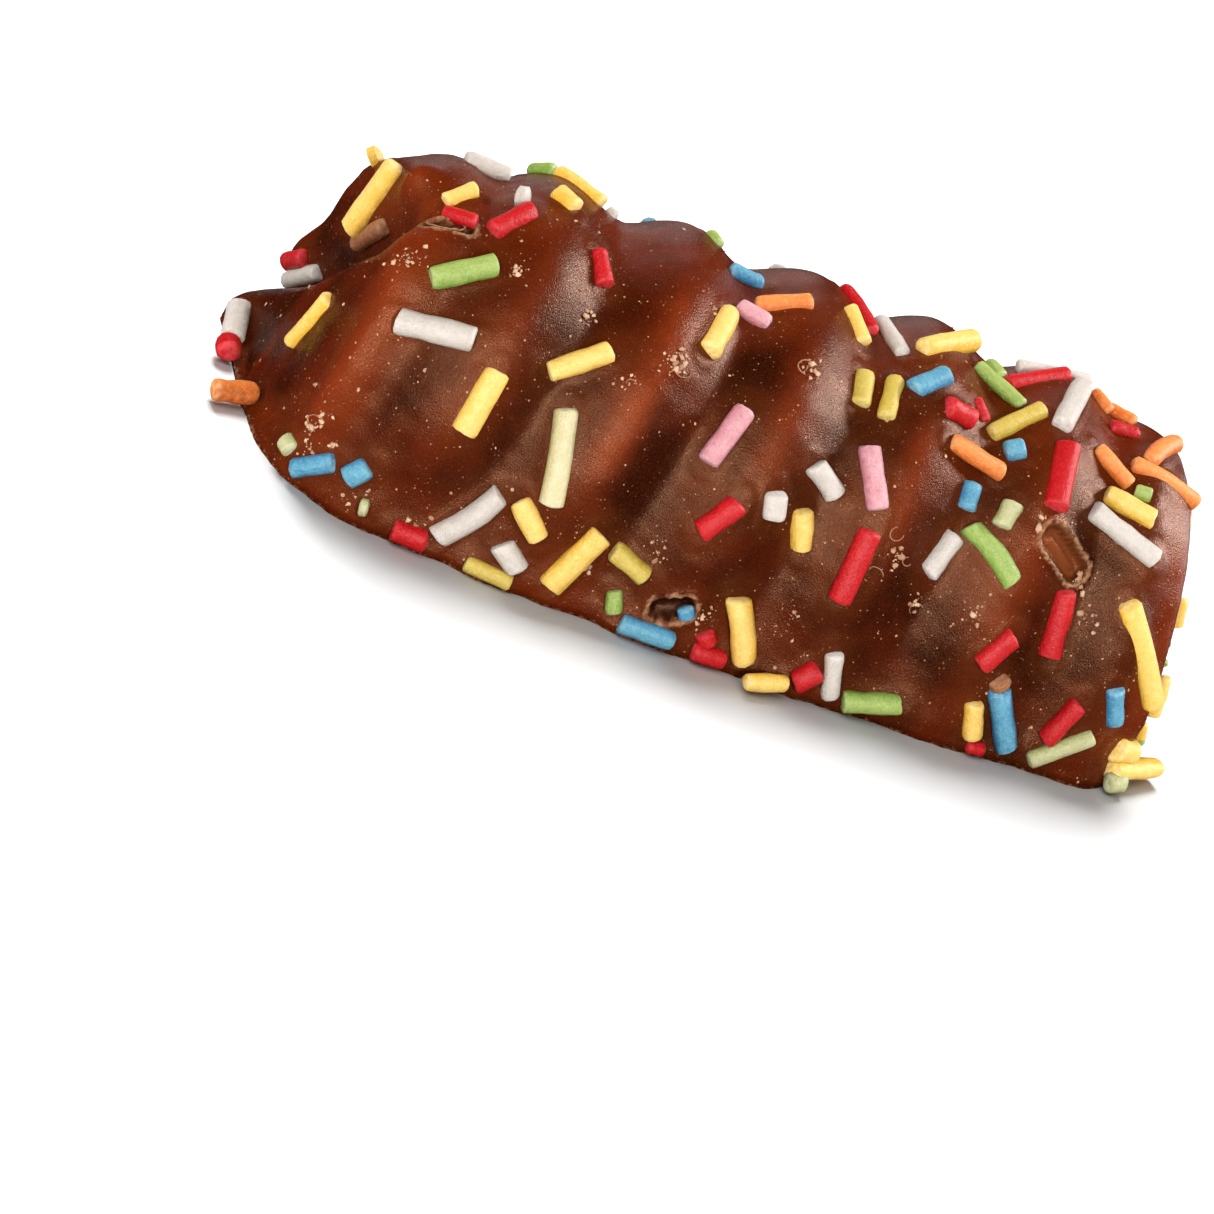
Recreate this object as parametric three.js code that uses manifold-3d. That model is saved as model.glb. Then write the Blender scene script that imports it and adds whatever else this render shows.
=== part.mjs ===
// A foam candy bar coated in milk chocolate and rolled in sugar strands, in millimetres, +Z up.
//
// The bar is a loaf with a flat underside. It lies along X, the side seen first is towards -Y, and the
// origin is the middle of the underside. Soft ridges cross the loaf at a slight slant, as a twisted
// foam rope has them. Both ends lean in towards the top, and a deep fold splits the -X end into two lobes.
//
// A place on the coat is given by two numbers. "along" is the distance walked over the coat from the
// middle of the bar towards +X, round the rim and down the end. "around" is the angle from the near
// foot, 0, over the top, 90, to the far foot, 180.

import * as THREE from 'three';
import Module from 'manifold-3d';

// Driving dimensions of the loaf.
const LENGTH = 59.2;            // foot to foot, at the underside
const WIDTH = 26.6;             // at the middle of the bar
const HEIGHT = 17.9;            // without the ridges
const END_CORNER = 5.5;         // radius that rounds the rim of each end
const END_LEAN = 0.10;          // the top is shorter than the underside by this share
const END_NARROWING = 0.18;     // the ends are narrower than the middle by this share
const SIDE_POWER = 0.88;        // below 1 the section is squarer at its shoulders
const CROWN_POWER = 0.85;       // below 1 the sides rise steeply from the foot

// Ridges across the loaf.
const RIDGE_PITCH = 9.4;
const RIDGE_RISE = 1.5;         // crest above furrow
const FIRST_CREST = -20.4;      // where a crest crosses around = 50
const CREST_ANGLE = 50;
const RIDGE_SLANT = 0.04;       // along, for each degree around
const CREST_SHAPE = 0.7;        // below 1 the crests are broad and the furrows narrow
const FOOT_SHARE = 0.25;        // of their rise is left at the foot
const FOOT_FADE = 24;           // around, where they have risen in full
const RIDGE_END = [25, 29];     // along, where they die out before the rim

// Rims, the foot and the folded end.
const RIM_ALONG = 28.3;         // a narrow bead runs round each end here
const RIM_RISE = 0.9;
const RIM_HALF_WIDTH = 1.3;
const RIM_FADE = [3, 14];       // around, where the bead sinks into the foot
const FOOT_FLARE = 0.6;         // coat that ran down and spread
const FOOT_FLARE_ANGLE = 11;
const FOLD_DEPTH = 2.8;
const FOLD_HALF_WIDTH = 2.1;
const FOLD_TOP = -2.2;          // y of the fold where it crosses the rim
const FOLD_SWING = 14.5;        // and how far it swings towards the far foot
const FOLD_BEND = 1.5;          // above 1 it swings late, close to the foot
const FOLD_REACH = [-28, -21.5];// x between which it fades out over the top
const SWELLS = [                // soft swells and hollows of the folded end
  { at: [-29, 8, 3.5], spread: 3.6, rise: 1.5 },
  { at: [-27, 12, -0.5], spread: 2.6, rise: 2.3 },
  { at: [-29, -8, 0], spread: 5, rise: -1.3 },
  { at: [-27.5, 8.5, 6.5], spread: 3, rise: -1 },
  { at: [-26.5, 5, 17], spread: 4, rise: -0.6 },
];

// Sugar strands.
const STRAND_WIDTH = 1.6;
const STRAND_SIDES = 6;
const STRAND_SEAT = 0.2;        // height of the strand's axis over the coat, in half widths
const FLOOR_GAP = 0.12;         // nothing but the underside is lower than this

// Grid of the coat.
const ROWS_ALONG = 54;
const ROWS_AROUND = 24;
const ROW_CROWDING = 0.11;      // rows lie closer together at the folded end

const CHOCOLATE = { color: 0x4a2413, roughness: 0.45, metalness: 0 };

// Strands seen on the near side, by colour: [along, around, along, around] of the two ends, the width
// where it isn't STRAND_WIDTH, and how far the first and the second end stand off the coat.
const SEEN_STRANDS = {
  yellow: [
    [-32.2, 113, -28.6, 102, 1.7, 0.5, 0.3], [-28.3, 131, -27.8, 129, 1.7, 0.2, 0.2], [-35.8, 47, -32.6, 57, 1.3], [-27, 83, -24.8, 88, 1.2],
    [-20.4, 37.5, -20.5, 22, 1.7], [-15.3, 14.5, -13, 9], [-19.6, 92, -18.2, 88, 1.4],
    [-18.6, 111, -15.2, 103, 1.3], [-17.3, 41, -13.9, 52, 1.5], [-6.5, 77, -7.8, 60.5, 1.6],
    [-11.1, 2, -9.7, 14.5, 1.7], [-0.3, 10.5, 2, 0.5, 1.7], [2, 0.5, 4.8, 1, 1.3, 1.6, 0.3],
    [2.4, 93, 3.5, 84.5, 1.3], [7.4, 86, 12, 98, 1.6, 0, 0.4], [1.4, 34, 2.5, 24.5, 1.6],
    [24.2, 37.5, 28.2, 17.5], [16.7, 8.3, 17.5, 2, 1.4], [27, 6.5, 29.2, 5.5, 1.8],
    [26.8, 2, 31.5, 0.5, 1.5, 0.2, 1.2], [31.5, 28, 31.2, 14, 1.5, 0.3, 0.3], [32, 12, 31.8, 6, 1.2],
    [31.5, 58, 32, 46, 1.4, 0.3, 0.3], [21.8, 64, 25.3, 59, 1.5],
  ],
  paleYellow: [[-15.3, 36, -13.5, 15.5, 1.6]],
  olive: [
    [-16.2, 0.5, -13.1, 0.5, 1.1], [-8.7, 12, -5.9, 9.4, 1.5], [3.6, 75, 3.5, 63.5, 1.4],
    [5.7, 75, 5.2, 61, 1.3], [13, 69.5, 16.7, 81.5, 1.3],
  ],
  white: [
    [-34, 174, -37.3, 179.5, 1.6, 0.3, 0.3], [-29.2, 171, -32.4, 150.5, 1.3, 0.2, 0.2], [-27.2, 40, -22.4, 41.5, 1.7],
    [-25.3, 104, -21.8, 104, 1.3], [-22.2, 88, -21.6, 87, 1.6, 0.3, 0.3], [-18.5, 2.5, -16.3, 14],
    [-15, 6, -13, 3, 1.6], [-0.9, 35.5, -0.3, 29, 1.6], [1, 44, 3.4, 38.5, 1.5], [5.6, 101, 6.3, 84.5, 1.2],
    [6.9, 7.8, 7.8, 0.5, 1.3], [12, 40, 10.8, 28.5, 1.5], [15.6, 100, 21.3, 103, 1.2],
    [20, 95, 17.6, 75, 1.5], [20.8, 57.5, 25.7, 49, 1.5], [-14.4, 109, -13.8, 107, 1.1],
  ],
  paleGreen: [
    [-30, 5, -28.6, 4, 1.3], [-23.3, 2.8, -22.9, 3, 1.3, 0.2, 0.2], [26.6, 0.5, 27.9, 0.5, 1.4, 0.5, 0.5],
    [21.4, 0.5, 25.1, 7.4, 1.2], [15.1, 52, 14.5, 44, 1.5],
  ],
  green: [
    [-26.5, 52.5, -22.8, 62, 1.6], [-19.8, 116, -18.4, 110, 1.4], [-7.4, 106, -6.8, 102, 1.1],
    [-7.3, 5.5, -6.7, 2, 1.2], [8.6, 0.5, 12.4, 2.6, 1.5], [12, 91, 15.5, 82.5, 1.1], [13.6, 99, 14.4, 93, 1.3],
    [12.5, 43, 16.2, 33, 1.5], [23.9, 67, 25, 66, 1.1], [32.5, 42, 32.3, 40, 1.1], [32, 34, 31.8, 31, 1.1],
    [32.5, 9, 32, 4, 1.2],
  ],
  blue: [
    [-27.9, 1, -25.8, 6, 1.3], [-24.9, 5, -24.1, 9, 1.5], [-6.3, 93, -3.6, 94, 1.1], [-6.2, 0.5, -2.6, 0.8, 1.4],
    [-3, 7.5, -2.5, 5.5, 1.1], [6.6, 71, 9.1, 79, 1.5], [14, 65, 15.4, 67, 1.5], [12.3, 54, 12.2, 46, 1.4],
    [17.8, 10.4, 20, 0.5, 1.6], [25.1, 19, 26.2, 11.5, 1.3],
  ],
  red: [
    [-37.9, 178, -39.4, 178, 1.7, 0.8, 0.8], [-28.6, 170, -30.9, 157.2, 1.3, 0.5, 0.2], [-27.1, 79, -24.6, 74.5, 1.1],
    [-23.7, 72.5, -21.2, 83.5, 1.5], [-16.4, 79.5, -15.4, 69.5, 1.4], [-21, 1.5, -18.7, 1.5, 1.5],
    [-4.5, 21, -2.8, 30.7, 1.6], [-1.2, 4.5, -0.4, 2.5, 1.3], [-1.4, 0.5, 0.9, 0.5, 1.3], [3, 109, 4.5, 91, 1.2],
    [8.9, 69, 11.4, 70, 1.6], [11.7, 78.5, 12.7, 73, 0.9], [14.6, 91, 19.2, 99, 1.2], [22.5, 90, 24.8, 90.5, 1],
    [18.2, 71.5, 17.7, 52, 1.7], [15.9, 15, 17.5, 23.5, 1.5], [20.4, 36, 20.7, 19.5, 1.7],
    [17.2, 0.5, 18.5, 0.5, 1], [5.2, 0.5, 6.5, 4, 1.6], [5.9, 34.5, 5.6, 18, 1.6], [22.1, 4.6, 23.5, 14, 1.4],
  ],
  orange: [
    [-35.6, 0.5, -37, 5.6, 1.6, 2.6, 0], [-4.6, 84.5, -0.8, 87, 1.3], [9.8, 61, 14.2, 58.5, 1.3],
    [21.6, 103, 23, 98, 1.1], [23.1, 103, 25, 97, 1.1], [27, 93, 25, 79, 1.3, 0.4, 0], [20.8, 76, 23.7, 68.5, 1.2],
    [23.5, 76, 28.5, 76, 1.2], [29.5, 86, 30.5, 73, 1.2],
  ],
  pink: [
    [-5.9, 81.5, -3.6, 77.5, 1.2], [-4.3, 51, -5.6, 35, 1.5], [4.4, 54, 6, 38.5, 1.5], [31, 74, 31.3, 62, 1.2],
  ],
  coated: [[-32.5, 113, -30.7, 94.5, 1.3], [17.6, 13.5, 18, 12.5, 1.5], [-28.9, 91, -27.5, 93, 1.7, -0.2, -0.2]],
};

// Empty beds of lost strands: the two ends, the width and the depth.
const EMPTY_BEDS = [
  { ends: [17.8, 47, 21.2, 40], width: 1.9, depth: 0.75 },
  { ends: [-27.6, 73.5, -25.4, 72.5], width: 1.0, depth: 0.6 },
  { ends: [-4.4, 4.5, -3, 6.5], width: 1.5, depth: 0.7 },
];

// Strands on the hidden side and the ends, dealt out by a rule.
const HIDDEN_STRANDS = 42;
const HIDDEN_LENGTHS = [2.2, 5.4];
const HIDDEN_WIDTHS = [1.3, 1.7];
const HIDDEN_SPACING = 3;       // closest that two strands' middles lie
const HIDDEN_FROM = 130;        // around, where the far side begins
const HIDDEN_ALONG = [-25, 36]; // the folded end is seen whole
const HIDDEN_END = [12, 168];   // around, on the +X end
const HIDDEN_TURN = 20;         // most that an end lies around from the middle
const HIDDEN_TRIES = 4000;
const TIP_ROOM = 1;
const FOOT_ROOM = 0.5;
const SEED = 4711;

const HALF = LENGTH / 2;
const HALF_WIDTH = WIDTH / 2;
const FLAT = HALF - END_CORNER;                  // along, up to where the rim begins
const ARC = END_CORNER * Math.PI / 2;            // length of the rim's curve
const REACH = FLAT + ARC + HALF_WIDTH - END_CORNER;
const SHORT_STEP = 0.02;
const TIP_MARGIN = 0.3;
const FOOT_MARGIN = 1.5;
const radians = Math.PI / 180;
const clamp = (value, low, high) => Math.min(high, Math.max(low, value));
const smooth = (value, low, high) => {
  const share = clamp((value - low) / (high - low), 0, 1);
  return share * share * (3 - 2 * share);
};
const bell = (value, spread) => Math.exp(-((value / spread) ** 2));
const between = ([low, high], share) => low + (high - low) * share;

/** The plain loaf, without ridges or folds. */
function loaf(along, around) {
  const past = Math.abs(along) - FLAT;
  const turn = clamp(past / END_CORNER, 0, Math.PI / 2);
  const x = Math.sign(along) * (past <= 0 ? Math.abs(along) : FLAT + END_CORNER * Math.sin(turn));
  const rim = HALF_WIDTH - END_CORNER + END_CORNER * Math.cos(turn);
  const share = (rim - Math.max(0, past - ARC)) / HALF_WIDTH;
  const cosine = Math.cos(around * radians);
  const sine = Math.abs(Math.sin(around * radians));
  const narrow = 1 - END_NARROWING * (x / HALF) ** 2;
  const y = -HALF_WIDTH * Math.sign(cosine) * Math.abs(cosine) ** SIDE_POWER * share * narrow;
  const z = HEIGHT * sine ** CROWN_POWER * share;
  return new THREE.Vector3(x * (1 - END_LEAN * z / HEIGHT), y, z);
}

/** Outward direction of the plain loaf, from two short steps over it. */
function outward(along, around) {
  const middle = clamp(along, -REACH + TIP_MARGIN, REACH - TIP_MARGIN);
  const angle = clamp(around, FOOT_MARGIN, 180 - FOOT_MARGIN);
  const walk = loaf(middle + SHORT_STEP, angle).sub(loaf(middle - SHORT_STEP, angle));
  const climb = loaf(middle, angle + SHORT_STEP).sub(loaf(middle, angle - SHORT_STEP));
  return walk.cross(climb).normalize();
}

/** Height of the coat over the plain loaf: ridges, rims, flare, swells and the fold. */
function relief(along, around) {
  const place = loaf(along, around);
  const side = smooth(around, 0, FOOT_FADE) * smooth(180 - around, 0, FOOT_FADE);
  const crest = (along - FIRST_CREST - RIDGE_SLANT * (around - CREST_ANGLE)) / RIDGE_PITCH;
  const wave = (0.5 + 0.5 * Math.cos(2 * Math.PI * crest)) ** CREST_SHAPE - 0.5;
  const onLoaf = 1 - smooth(Math.abs(along), ...RIDGE_END);
  let height = RIDGE_RISE * wave * (FOOT_SHARE + (1 - FOOT_SHARE) * side) * onLoaf;
  height += RIM_RISE * bell(Math.abs(along) - RIM_ALONG, RIM_HALF_WIDTH) * smooth(around, ...RIM_FADE)
    * smooth(180 - around, ...RIM_FADE);
  const foot = Math.min(around, 180 - around) / FOOT_FLARE_ANGLE;
  height += FOOT_FLARE * Math.max(0, 1 - foot) ** 2;
  for (const { at, spread, rise } of SWELLS) {
    height += rise * bell(place.distanceTo(new THREE.Vector3(...at)), spread);
  }
  const foldY = FOLD_TOP + FOLD_SWING * Math.max(0, 1 - place.z / (HEIGHT - 1)) ** FOLD_BEND;
  const folded = smooth(-place.x, -FOLD_REACH[1], -FOLD_REACH[0]);
  height -= FOLD_DEPTH * bell(place.y - foldY, FOLD_HALF_WIDTH) * folded;
  return height;
}

/** A place on the finished coat. The underside stays flat, and nothing else touches the floor. */
function coat(along, around) {
  const height = relief(along, around);
  const place = loaf(along, around).addScaledVector(outward(along, around), height);
  const onFoot = around <= 0 || around >= 180 || Math.abs(along) >= REACH;
  place.z = onFoot ? 0 : Math.max(place.z, FLOOR_GAP);
  return place;
}

/** The coat as a closed grid, with the underside filled in between the two feet. */
function loafSolid() {
  const points = [];
  const faces = [];
  const rows = [];
  for (let i = 0; i <= ROWS_ALONG; i++) {
    const share = 2 * i / ROWS_ALONG - 1;
    const along = REACH * (share - ROW_CROWDING * (1 - share ** 2));
    const row = [];
    for (let j = 0; j <= ROWS_AROUND; j++) {
      const tip = i === 0 || i === ROWS_ALONG;
      if (!tip || j === 0) points.push(coat(along, 180 * j / ROWS_AROUND));
      row.push(points.length - 1);
    }
    rows.push(row);
  }
  const face = (a, b, c) => {
    if (a !== b && b !== c && a !== c) faces.push(a, b, c);
  };
  for (let i = 0; i < ROWS_ALONG; i++) {
    for (let j = 0; j < ROWS_AROUND; j++) {
      face(rows[i][j], rows[i + 1][j], rows[i + 1][j + 1]);
      face(rows[i][j], rows[i + 1][j + 1], rows[i][j + 1]);
    }
  }
  const near = rows.map((row) => row[0]);
  const far = rows.slice(1, -1).map((row) => row[ROWS_AROUND]).reverse();
  const outline = [...near, ...far];
  const flat = outline.map((index) => new THREE.Vector2(points[index].x, points[index].y));
  for (const [a, b, c] of THREE.ShapeUtils.triangulateShape(flat, [])) face(outline[a], outline[c], outline[b]);
  return { points, faces };
}

/** A strand or a bed: a six-sided bar with blunt ends, seated on the coat. */
function strandSolid([a0, t0, a1, t1, width = STRAND_WIDTH, liftA = 0, liftB = 0], seat) {
  const from = coat(a0, t0).addScaledVector(outward(a0, t0), liftA);
  const to = coat(a1, t1).addScaledVector(outward(a1, t1), liftB);
  const up = outward((a0 + a1) / 2, (t0 + t1) / 2);
  const bed = coat((a0 + a1) / 2, (t0 + t1) / 2);
  const middle = from.clone().add(to).multiplyScalar(0.5);
  const bow = Math.max(0, bed.clone().sub(middle).dot(up)) * 0.5;
  const half = width / 2;
  const axis = to.clone().sub(from);
  const length = Math.max(axis.length(), 0.5 * width);
  axis.normalize();
  const side = new THREE.Vector3().crossVectors(up, axis).normalize();
  const top = new THREE.Vector3().crossVectors(axis, side);
  middle.addScaledVector(up, bow + seat * half);
  middle.z = Math.max(middle.z, half + FLOOR_GAP + Math.abs(axis.z) * length / 2);
  const points = [];
  for (const reach of [-length / 2, length / 2]) {
    for (let k = 0; k < STRAND_SIDES; k++) {
      const angle = 2 * Math.PI * (k + 0.5) / STRAND_SIDES;
      points.push(middle.clone().addScaledVector(axis, reach)
        .addScaledVector(side, half * Math.cos(angle)).addScaledVector(top, half * Math.sin(angle)));
    }
  }
  const faces = [];
  for (let k = 0; k < STRAND_SIDES; k++) {
    const next = (k + 1) % STRAND_SIDES;
    faces.push(k, next, next + STRAND_SIDES, k, next + STRAND_SIDES, k + STRAND_SIDES);
  }
  for (let k = 1; k < STRAND_SIDES - 1; k++) {
    faces.push(0, k + 1, k, STRAND_SIDES, STRAND_SIDES + k, STRAND_SIDES + k + 1);
  }
  return { points, faces };
}

/** Even draws between 0 and 1 that are the same on every run. */
function drawer(seed) {
  let state = seed;
  return () => {
    state = (state * 16807) % 2147483647;
    return state / 2147483647;
  };
}

/** The strands that the near side doesn't show, spread over the far side and down the +X end. */
function hiddenStrands(taken) {
  const draw = drawer(SEED);
  const middles = taken.map(([a0, t0, a1, t1]) => coat((a0 + a1) / 2, (t0 + t1) / 2));
  const found = [];
  for (let tries = 0; found.length < HIDDEN_STRANDS && tries < HIDDEN_TRIES; tries++) {
    const along = between(HIDDEN_ALONG, draw());
    const onEnd = along > FLAT + ARC;
    const angle = between(onEnd ? HIDDEN_END : [HIDDEN_FROM, 180 - FOOT_ROOM], draw());
    const turn = Math.PI * draw();
    const length = between(HIDDEN_LENGTHS, draw());
    const width = between(HIDDEN_WIDTHS, draw());
    const middle = coat(along, angle);
    if (middles.some((other) => other.distanceTo(middle) < HIDDEN_SPACING)) continue;
    const perDegree = coat(along, angle + 1).distanceTo(coat(along, angle - 1)) / 2;
    const stepAlong = length / 2 * Math.cos(turn);
    const stepAround = Math.min(length / 2 * Math.sin(turn) / perDegree, HIDDEN_TURN);
    const ends = [-1, 1].flatMap((way) => [
      clamp(along + way * stepAlong, -REACH + TIP_ROOM, REACH - TIP_ROOM),
      clamp(angle + way * stepAround, FOOT_ROOM, 180 - FOOT_ROOM),
    ]);
    middles.push(middle);
    found.push([...ends, width]);
  }
  return found;
}

const wasm = await Module();
wasm.setup();

/** A closed list of points and faces as a solid that can be joined and cut. */
function solid({ points, faces }) {
  return new wasm.Manifold(new wasm.Mesh({
    numProp: 3,
    vertProperties: new Float32Array(points.flatMap((point) => [point.x, point.y, point.z])),
    triVerts: new Uint32Array(faces),
  }));
}

/** The one outer skin of a joined solid: loose scraps are dropped and sealed hollows are filled. */
function outerSkin(joined) {
  const mesh = joined.getMesh();
  const owner = Array.from({ length: mesh.vertProperties.length / mesh.numProp }, (_, index) => index);
  const root = (index) => {
    let top = index;
    while (owner[top] !== top) top = owner[top];
    owner[index] = top;
    return top;
  };
  const at = (index) => new THREE.Vector3().fromArray(mesh.vertProperties, index * mesh.numProp);
  for (let i = 0; i < mesh.triVerts.length; i += 3) {
    owner[root(mesh.triVerts[i + 1])] = root(mesh.triVerts[i]);
    owner[root(mesh.triVerts[i + 2])] = root(mesh.triVerts[i]);
  }
  const volumes = new Map();
  for (let i = 0; i < mesh.triVerts.length; i += 3) {
    const [a, b, c] = [0, 1, 2].map((corner) => at(mesh.triVerts[i + corner]));
    const skin = root(mesh.triVerts[i]);
    volumes.set(skin, (volumes.get(skin) ?? 0) + a.dot(b.cross(c)) / 6);
  }
  const largest = [...volumes].reduce((best, next) => (next[1] > best[1] ? next : best))[0];
  const kept = [];
  for (let i = 0; i < mesh.triVerts.length; i += 3) {
    if (root(mesh.triVerts[i]) === largest) kept.push(...mesh.triVerts.slice(i, i + 3));
  }
  const geometry = new THREE.BufferGeometry();
  geometry.setAttribute('position', new THREE.BufferAttribute(mesh.vertProperties, mesh.numProp));
  geometry.setIndex(kept);
  return geometry;
}

let bar = solid(loafSolid());
for (const { ends, width, depth } of EMPTY_BEDS) {
  bar = bar.subtract(solid(strandSolid([...ends, width], 1 - 2 * depth / width)));
}
const seen = Object.values(SEEN_STRANDS).flat();
for (const strand of [...seen, ...hiddenStrands(seen)]) bar = bar.add(solid(strandSolid(strand, STRAND_SEAT)));

const geometry = outerSkin(bar);
geometry.computeVertexNormals();
const foamBar = new THREE.Mesh(geometry, new THREE.MeshStandardMaterial(CHOCOLATE));
foamBar.name = 'foam_bar';

const candy = new THREE.Group();
candy.add(foamBar);
export default candy;
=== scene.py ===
# %% [markdown]
# # A chocolate-coated foam candy with sugar strands
# One soft foam bar, dipped in milk chocolate and rolled in coloured sugar strands. The lesson dresses the
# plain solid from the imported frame: a fine coat, strands in ten colours, crumbs, light and a camera.
# Every surface is a numpy function of two parameters, so a form is changed by changing one number.

import bpy
import numpy as np
from mathutils import Matrix


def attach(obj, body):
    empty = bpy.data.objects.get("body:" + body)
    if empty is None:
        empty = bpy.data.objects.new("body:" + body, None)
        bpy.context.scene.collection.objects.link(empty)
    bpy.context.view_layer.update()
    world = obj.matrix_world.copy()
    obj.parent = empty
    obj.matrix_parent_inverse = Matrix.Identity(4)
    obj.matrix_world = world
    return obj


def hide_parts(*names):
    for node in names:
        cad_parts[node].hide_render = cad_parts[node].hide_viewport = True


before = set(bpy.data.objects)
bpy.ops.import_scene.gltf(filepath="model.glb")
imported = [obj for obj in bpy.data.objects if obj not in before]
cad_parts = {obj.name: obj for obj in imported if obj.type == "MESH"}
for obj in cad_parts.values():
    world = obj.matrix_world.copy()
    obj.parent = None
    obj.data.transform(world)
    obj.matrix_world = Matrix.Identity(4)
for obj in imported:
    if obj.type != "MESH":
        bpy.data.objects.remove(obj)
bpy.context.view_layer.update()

scene = bpy.context.scene

# %% [markdown]
# ## The camera
# A long lens from far away keeps the bar's sides almost parallel, as a studio photograph does. The
# camera could be aimed with a Track To constraint, but the bar lies off the middle of the picture and the
# horizon is tilted, so its three axes are worked out from an azimuth, an elevation and a roll, and then
# turned so that the middle of the bar falls on its own pixel.

# %% Camera
MM = 0.001
PICTURE = 1214                      # pixels on a side
SENSOR = 36.0
LOOK_AZIMUTH = np.radians(19.705)   # the view turns this far from +Y towards +X
LOOK_ELEVATION = np.radians(25.0)
LOOK_ROLL = np.radians(29.177)
LOOK_DISTANCE = 420.0               # mm, to the middle of the bar
PIXELS_PER_MM = 16.5
TARGET_PIXEL = np.array([751.163, 424.707])
TARGET_HEIGHT = 9.187               # mm, above the floor


def camera_axes():
    """Right, up and forward of the camera: the look direction rolled, then turned to aim off centre."""
    flat = np.cos(LOOK_ELEVATION)
    look = np.array([np.sin(LOOK_AZIMUTH) * flat, np.cos(LOOK_AZIMUTH) * flat, -np.sin(LOOK_ELEVATION)])
    level = np.array([np.cos(LOOK_AZIMUTH), -np.sin(LOOK_AZIMUTH), 0.0])
    raised = np.cross(level, look)
    right = np.cos(LOOK_ROLL) * level + np.sin(LOOK_ROLL) * raised
    up = np.cos(LOOK_ROLL) * raised - np.sin(LOOK_ROLL) * level
    offset = TARGET_PIXEL - PICTURE / 2
    ray = np.array([offset[0], -offset[1], LOOK_DISTANCE * PIXELS_PER_MM])
    ray /= np.linalg.norm(ray)
    hinge = np.cross([0.0, 0.0, 1.0], ray)
    sine = np.linalg.norm(hinge)
    x, y, z = hinge / sine
    skew = np.array([[0, -z, y], [z, 0, -x], [-y, x, 0]])
    turn = np.eye(3) + sine * skew + (1 - ray[2]) * skew @ skew
    return turn @ np.stack([right, up, look]), look


axes, look = camera_axes()
eye = (np.array([0.0, 0.0, TARGET_HEIGHT]) - look * LOOK_DISTANCE) * MM
camera_data = bpy.data.cameras.new("camera")
camera_data.sensor_width = SENSOR
camera_data.lens = LOOK_DISTANCE * PIXELS_PER_MM / PICTURE * SENSOR
camera_data.clip_start = 0.01
camera_data.clip_end = 10.0
camera = bpy.data.objects.new("camera", camera_data)
scene.collection.objects.link(camera)
pose = np.eye(4)
pose[:3, :3] = np.stack([axes[0], axes[1], -axes[2]], axis=1)
pose[:3, 3] = eye
camera.matrix_world = Matrix(pose.tolist())
scene.camera = camera
print("lens", round(camera_data.lens, 1), "mm at", eye.round(3))

# %% [markdown]
# ## The loaf
# The bar is a loaf on a flat underside. It could be sculpted, but two numbers name every place on it:
# "along", the distance walked from the middle over the top and down the end, and "around", the angle from
# the near foot over the top to the far foot. The same two numbers later place every strand.

# %% Sizes of the loaf
LENGTH, WIDTH, HEIGHT = 59.2, 26.6, 17.9        # mm, of the plain loaf
END_CORNER = 5.5                    # radius of the corner between the top and an end
END_LEAN = 0.10                     # share of x lost at the top
END_NARROWING = 0.18                # share of the width lost at the ends
SIDE_POWER = 0.88                   # powers under 1 make the section squarer than an ellipse
CROWN_POWER = 0.85
HALF, HALF_WIDTH = LENGTH / 2, WIDTH / 2
FLAT = HALF - END_CORNER
ARC = END_CORNER * np.pi / 2
REACH = FLAT + ARC + HALF_WIDTH - END_CORNER
SHORT_STEP = 0.02                   # mm along or degrees around
TIP_MARGIN = 0.3                    # the margins keep those steps off the tips and the feet
FOOT_MARGIN = 1.5
print("walk from the middle to the end's foot:", round(REACH, 2), "mm")

# %% [markdown]
# ## The loaf as a formula
# A box with bevelled corners would need its sides and ends shaped by hand. One formula gives the whole skin
# at once. The direction straight out of it comes from two short steps on it, and is the way in which every
# ridge, fillet and strand is raised.

# %% The loaf as a surface
def smooth(value, low, high):
    """0 below low, 1 above high, and an S curve between: 3 s squared minus 2 s cubed."""
    share = np.clip((value - low) / (high - low), 0, 1)
    return share * share * (3 - 2 * share)


def bell(value, spread):
    """1 at zero and falling off as exp(-(value / spread) squared)."""
    return np.exp(-(value / spread) ** 2)


def loaf(along, around):
    """Plain loaf: x walks round the corner circle, y and z are powers of the cosine and the sine of
    around, shrunk by the rim's share, narrowed with x squared and leaning in with height."""
    along, around = np.broadcast_arrays(np.asarray(along, float), np.asarray(around, float))
    past = np.abs(along) - FLAT
    turn = np.clip(past / END_CORNER, 0, np.pi / 2)
    x = np.sign(along) * np.where(past <= 0, np.abs(along), FLAT + END_CORNER * np.sin(turn))
    rim = HALF_WIDTH - END_CORNER + END_CORNER * np.cos(turn)
    share = (rim - np.maximum(0, past - ARC)) / HALF_WIDTH
    cosine = np.cos(np.radians(around))
    sine = np.abs(np.sin(np.radians(around)))
    narrow = 1 - END_NARROWING * (x / HALF) ** 2
    y = -HALF_WIDTH * np.sign(cosine) * np.abs(cosine) ** SIDE_POWER * share * narrow
    z = HEIGHT * sine ** CROWN_POWER * share
    return np.stack([x * (1 - END_LEAN * z / HEIGHT), y, z], axis=-1)


def outward(along, around):
    """Outward direction: the cross product of a short step along and a short step around."""
    middle = np.clip(along, -REACH + TIP_MARGIN, REACH - TIP_MARGIN)
    angle = np.clip(around, FOOT_MARGIN, 180 - FOOT_MARGIN)
    walk = loaf(middle + SHORT_STEP, angle) - loaf(middle - SHORT_STEP, angle)
    climb = loaf(middle, angle + SHORT_STEP) - loaf(middle, angle - SHORT_STEP)
    normal = np.cross(walk, climb)
    return normal / np.linalg.norm(normal, axis=-1, keepdims=True)


print("top of the loaf:", loaf(0, 90).round(2), "facing", outward(0, 90).round(2))

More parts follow.
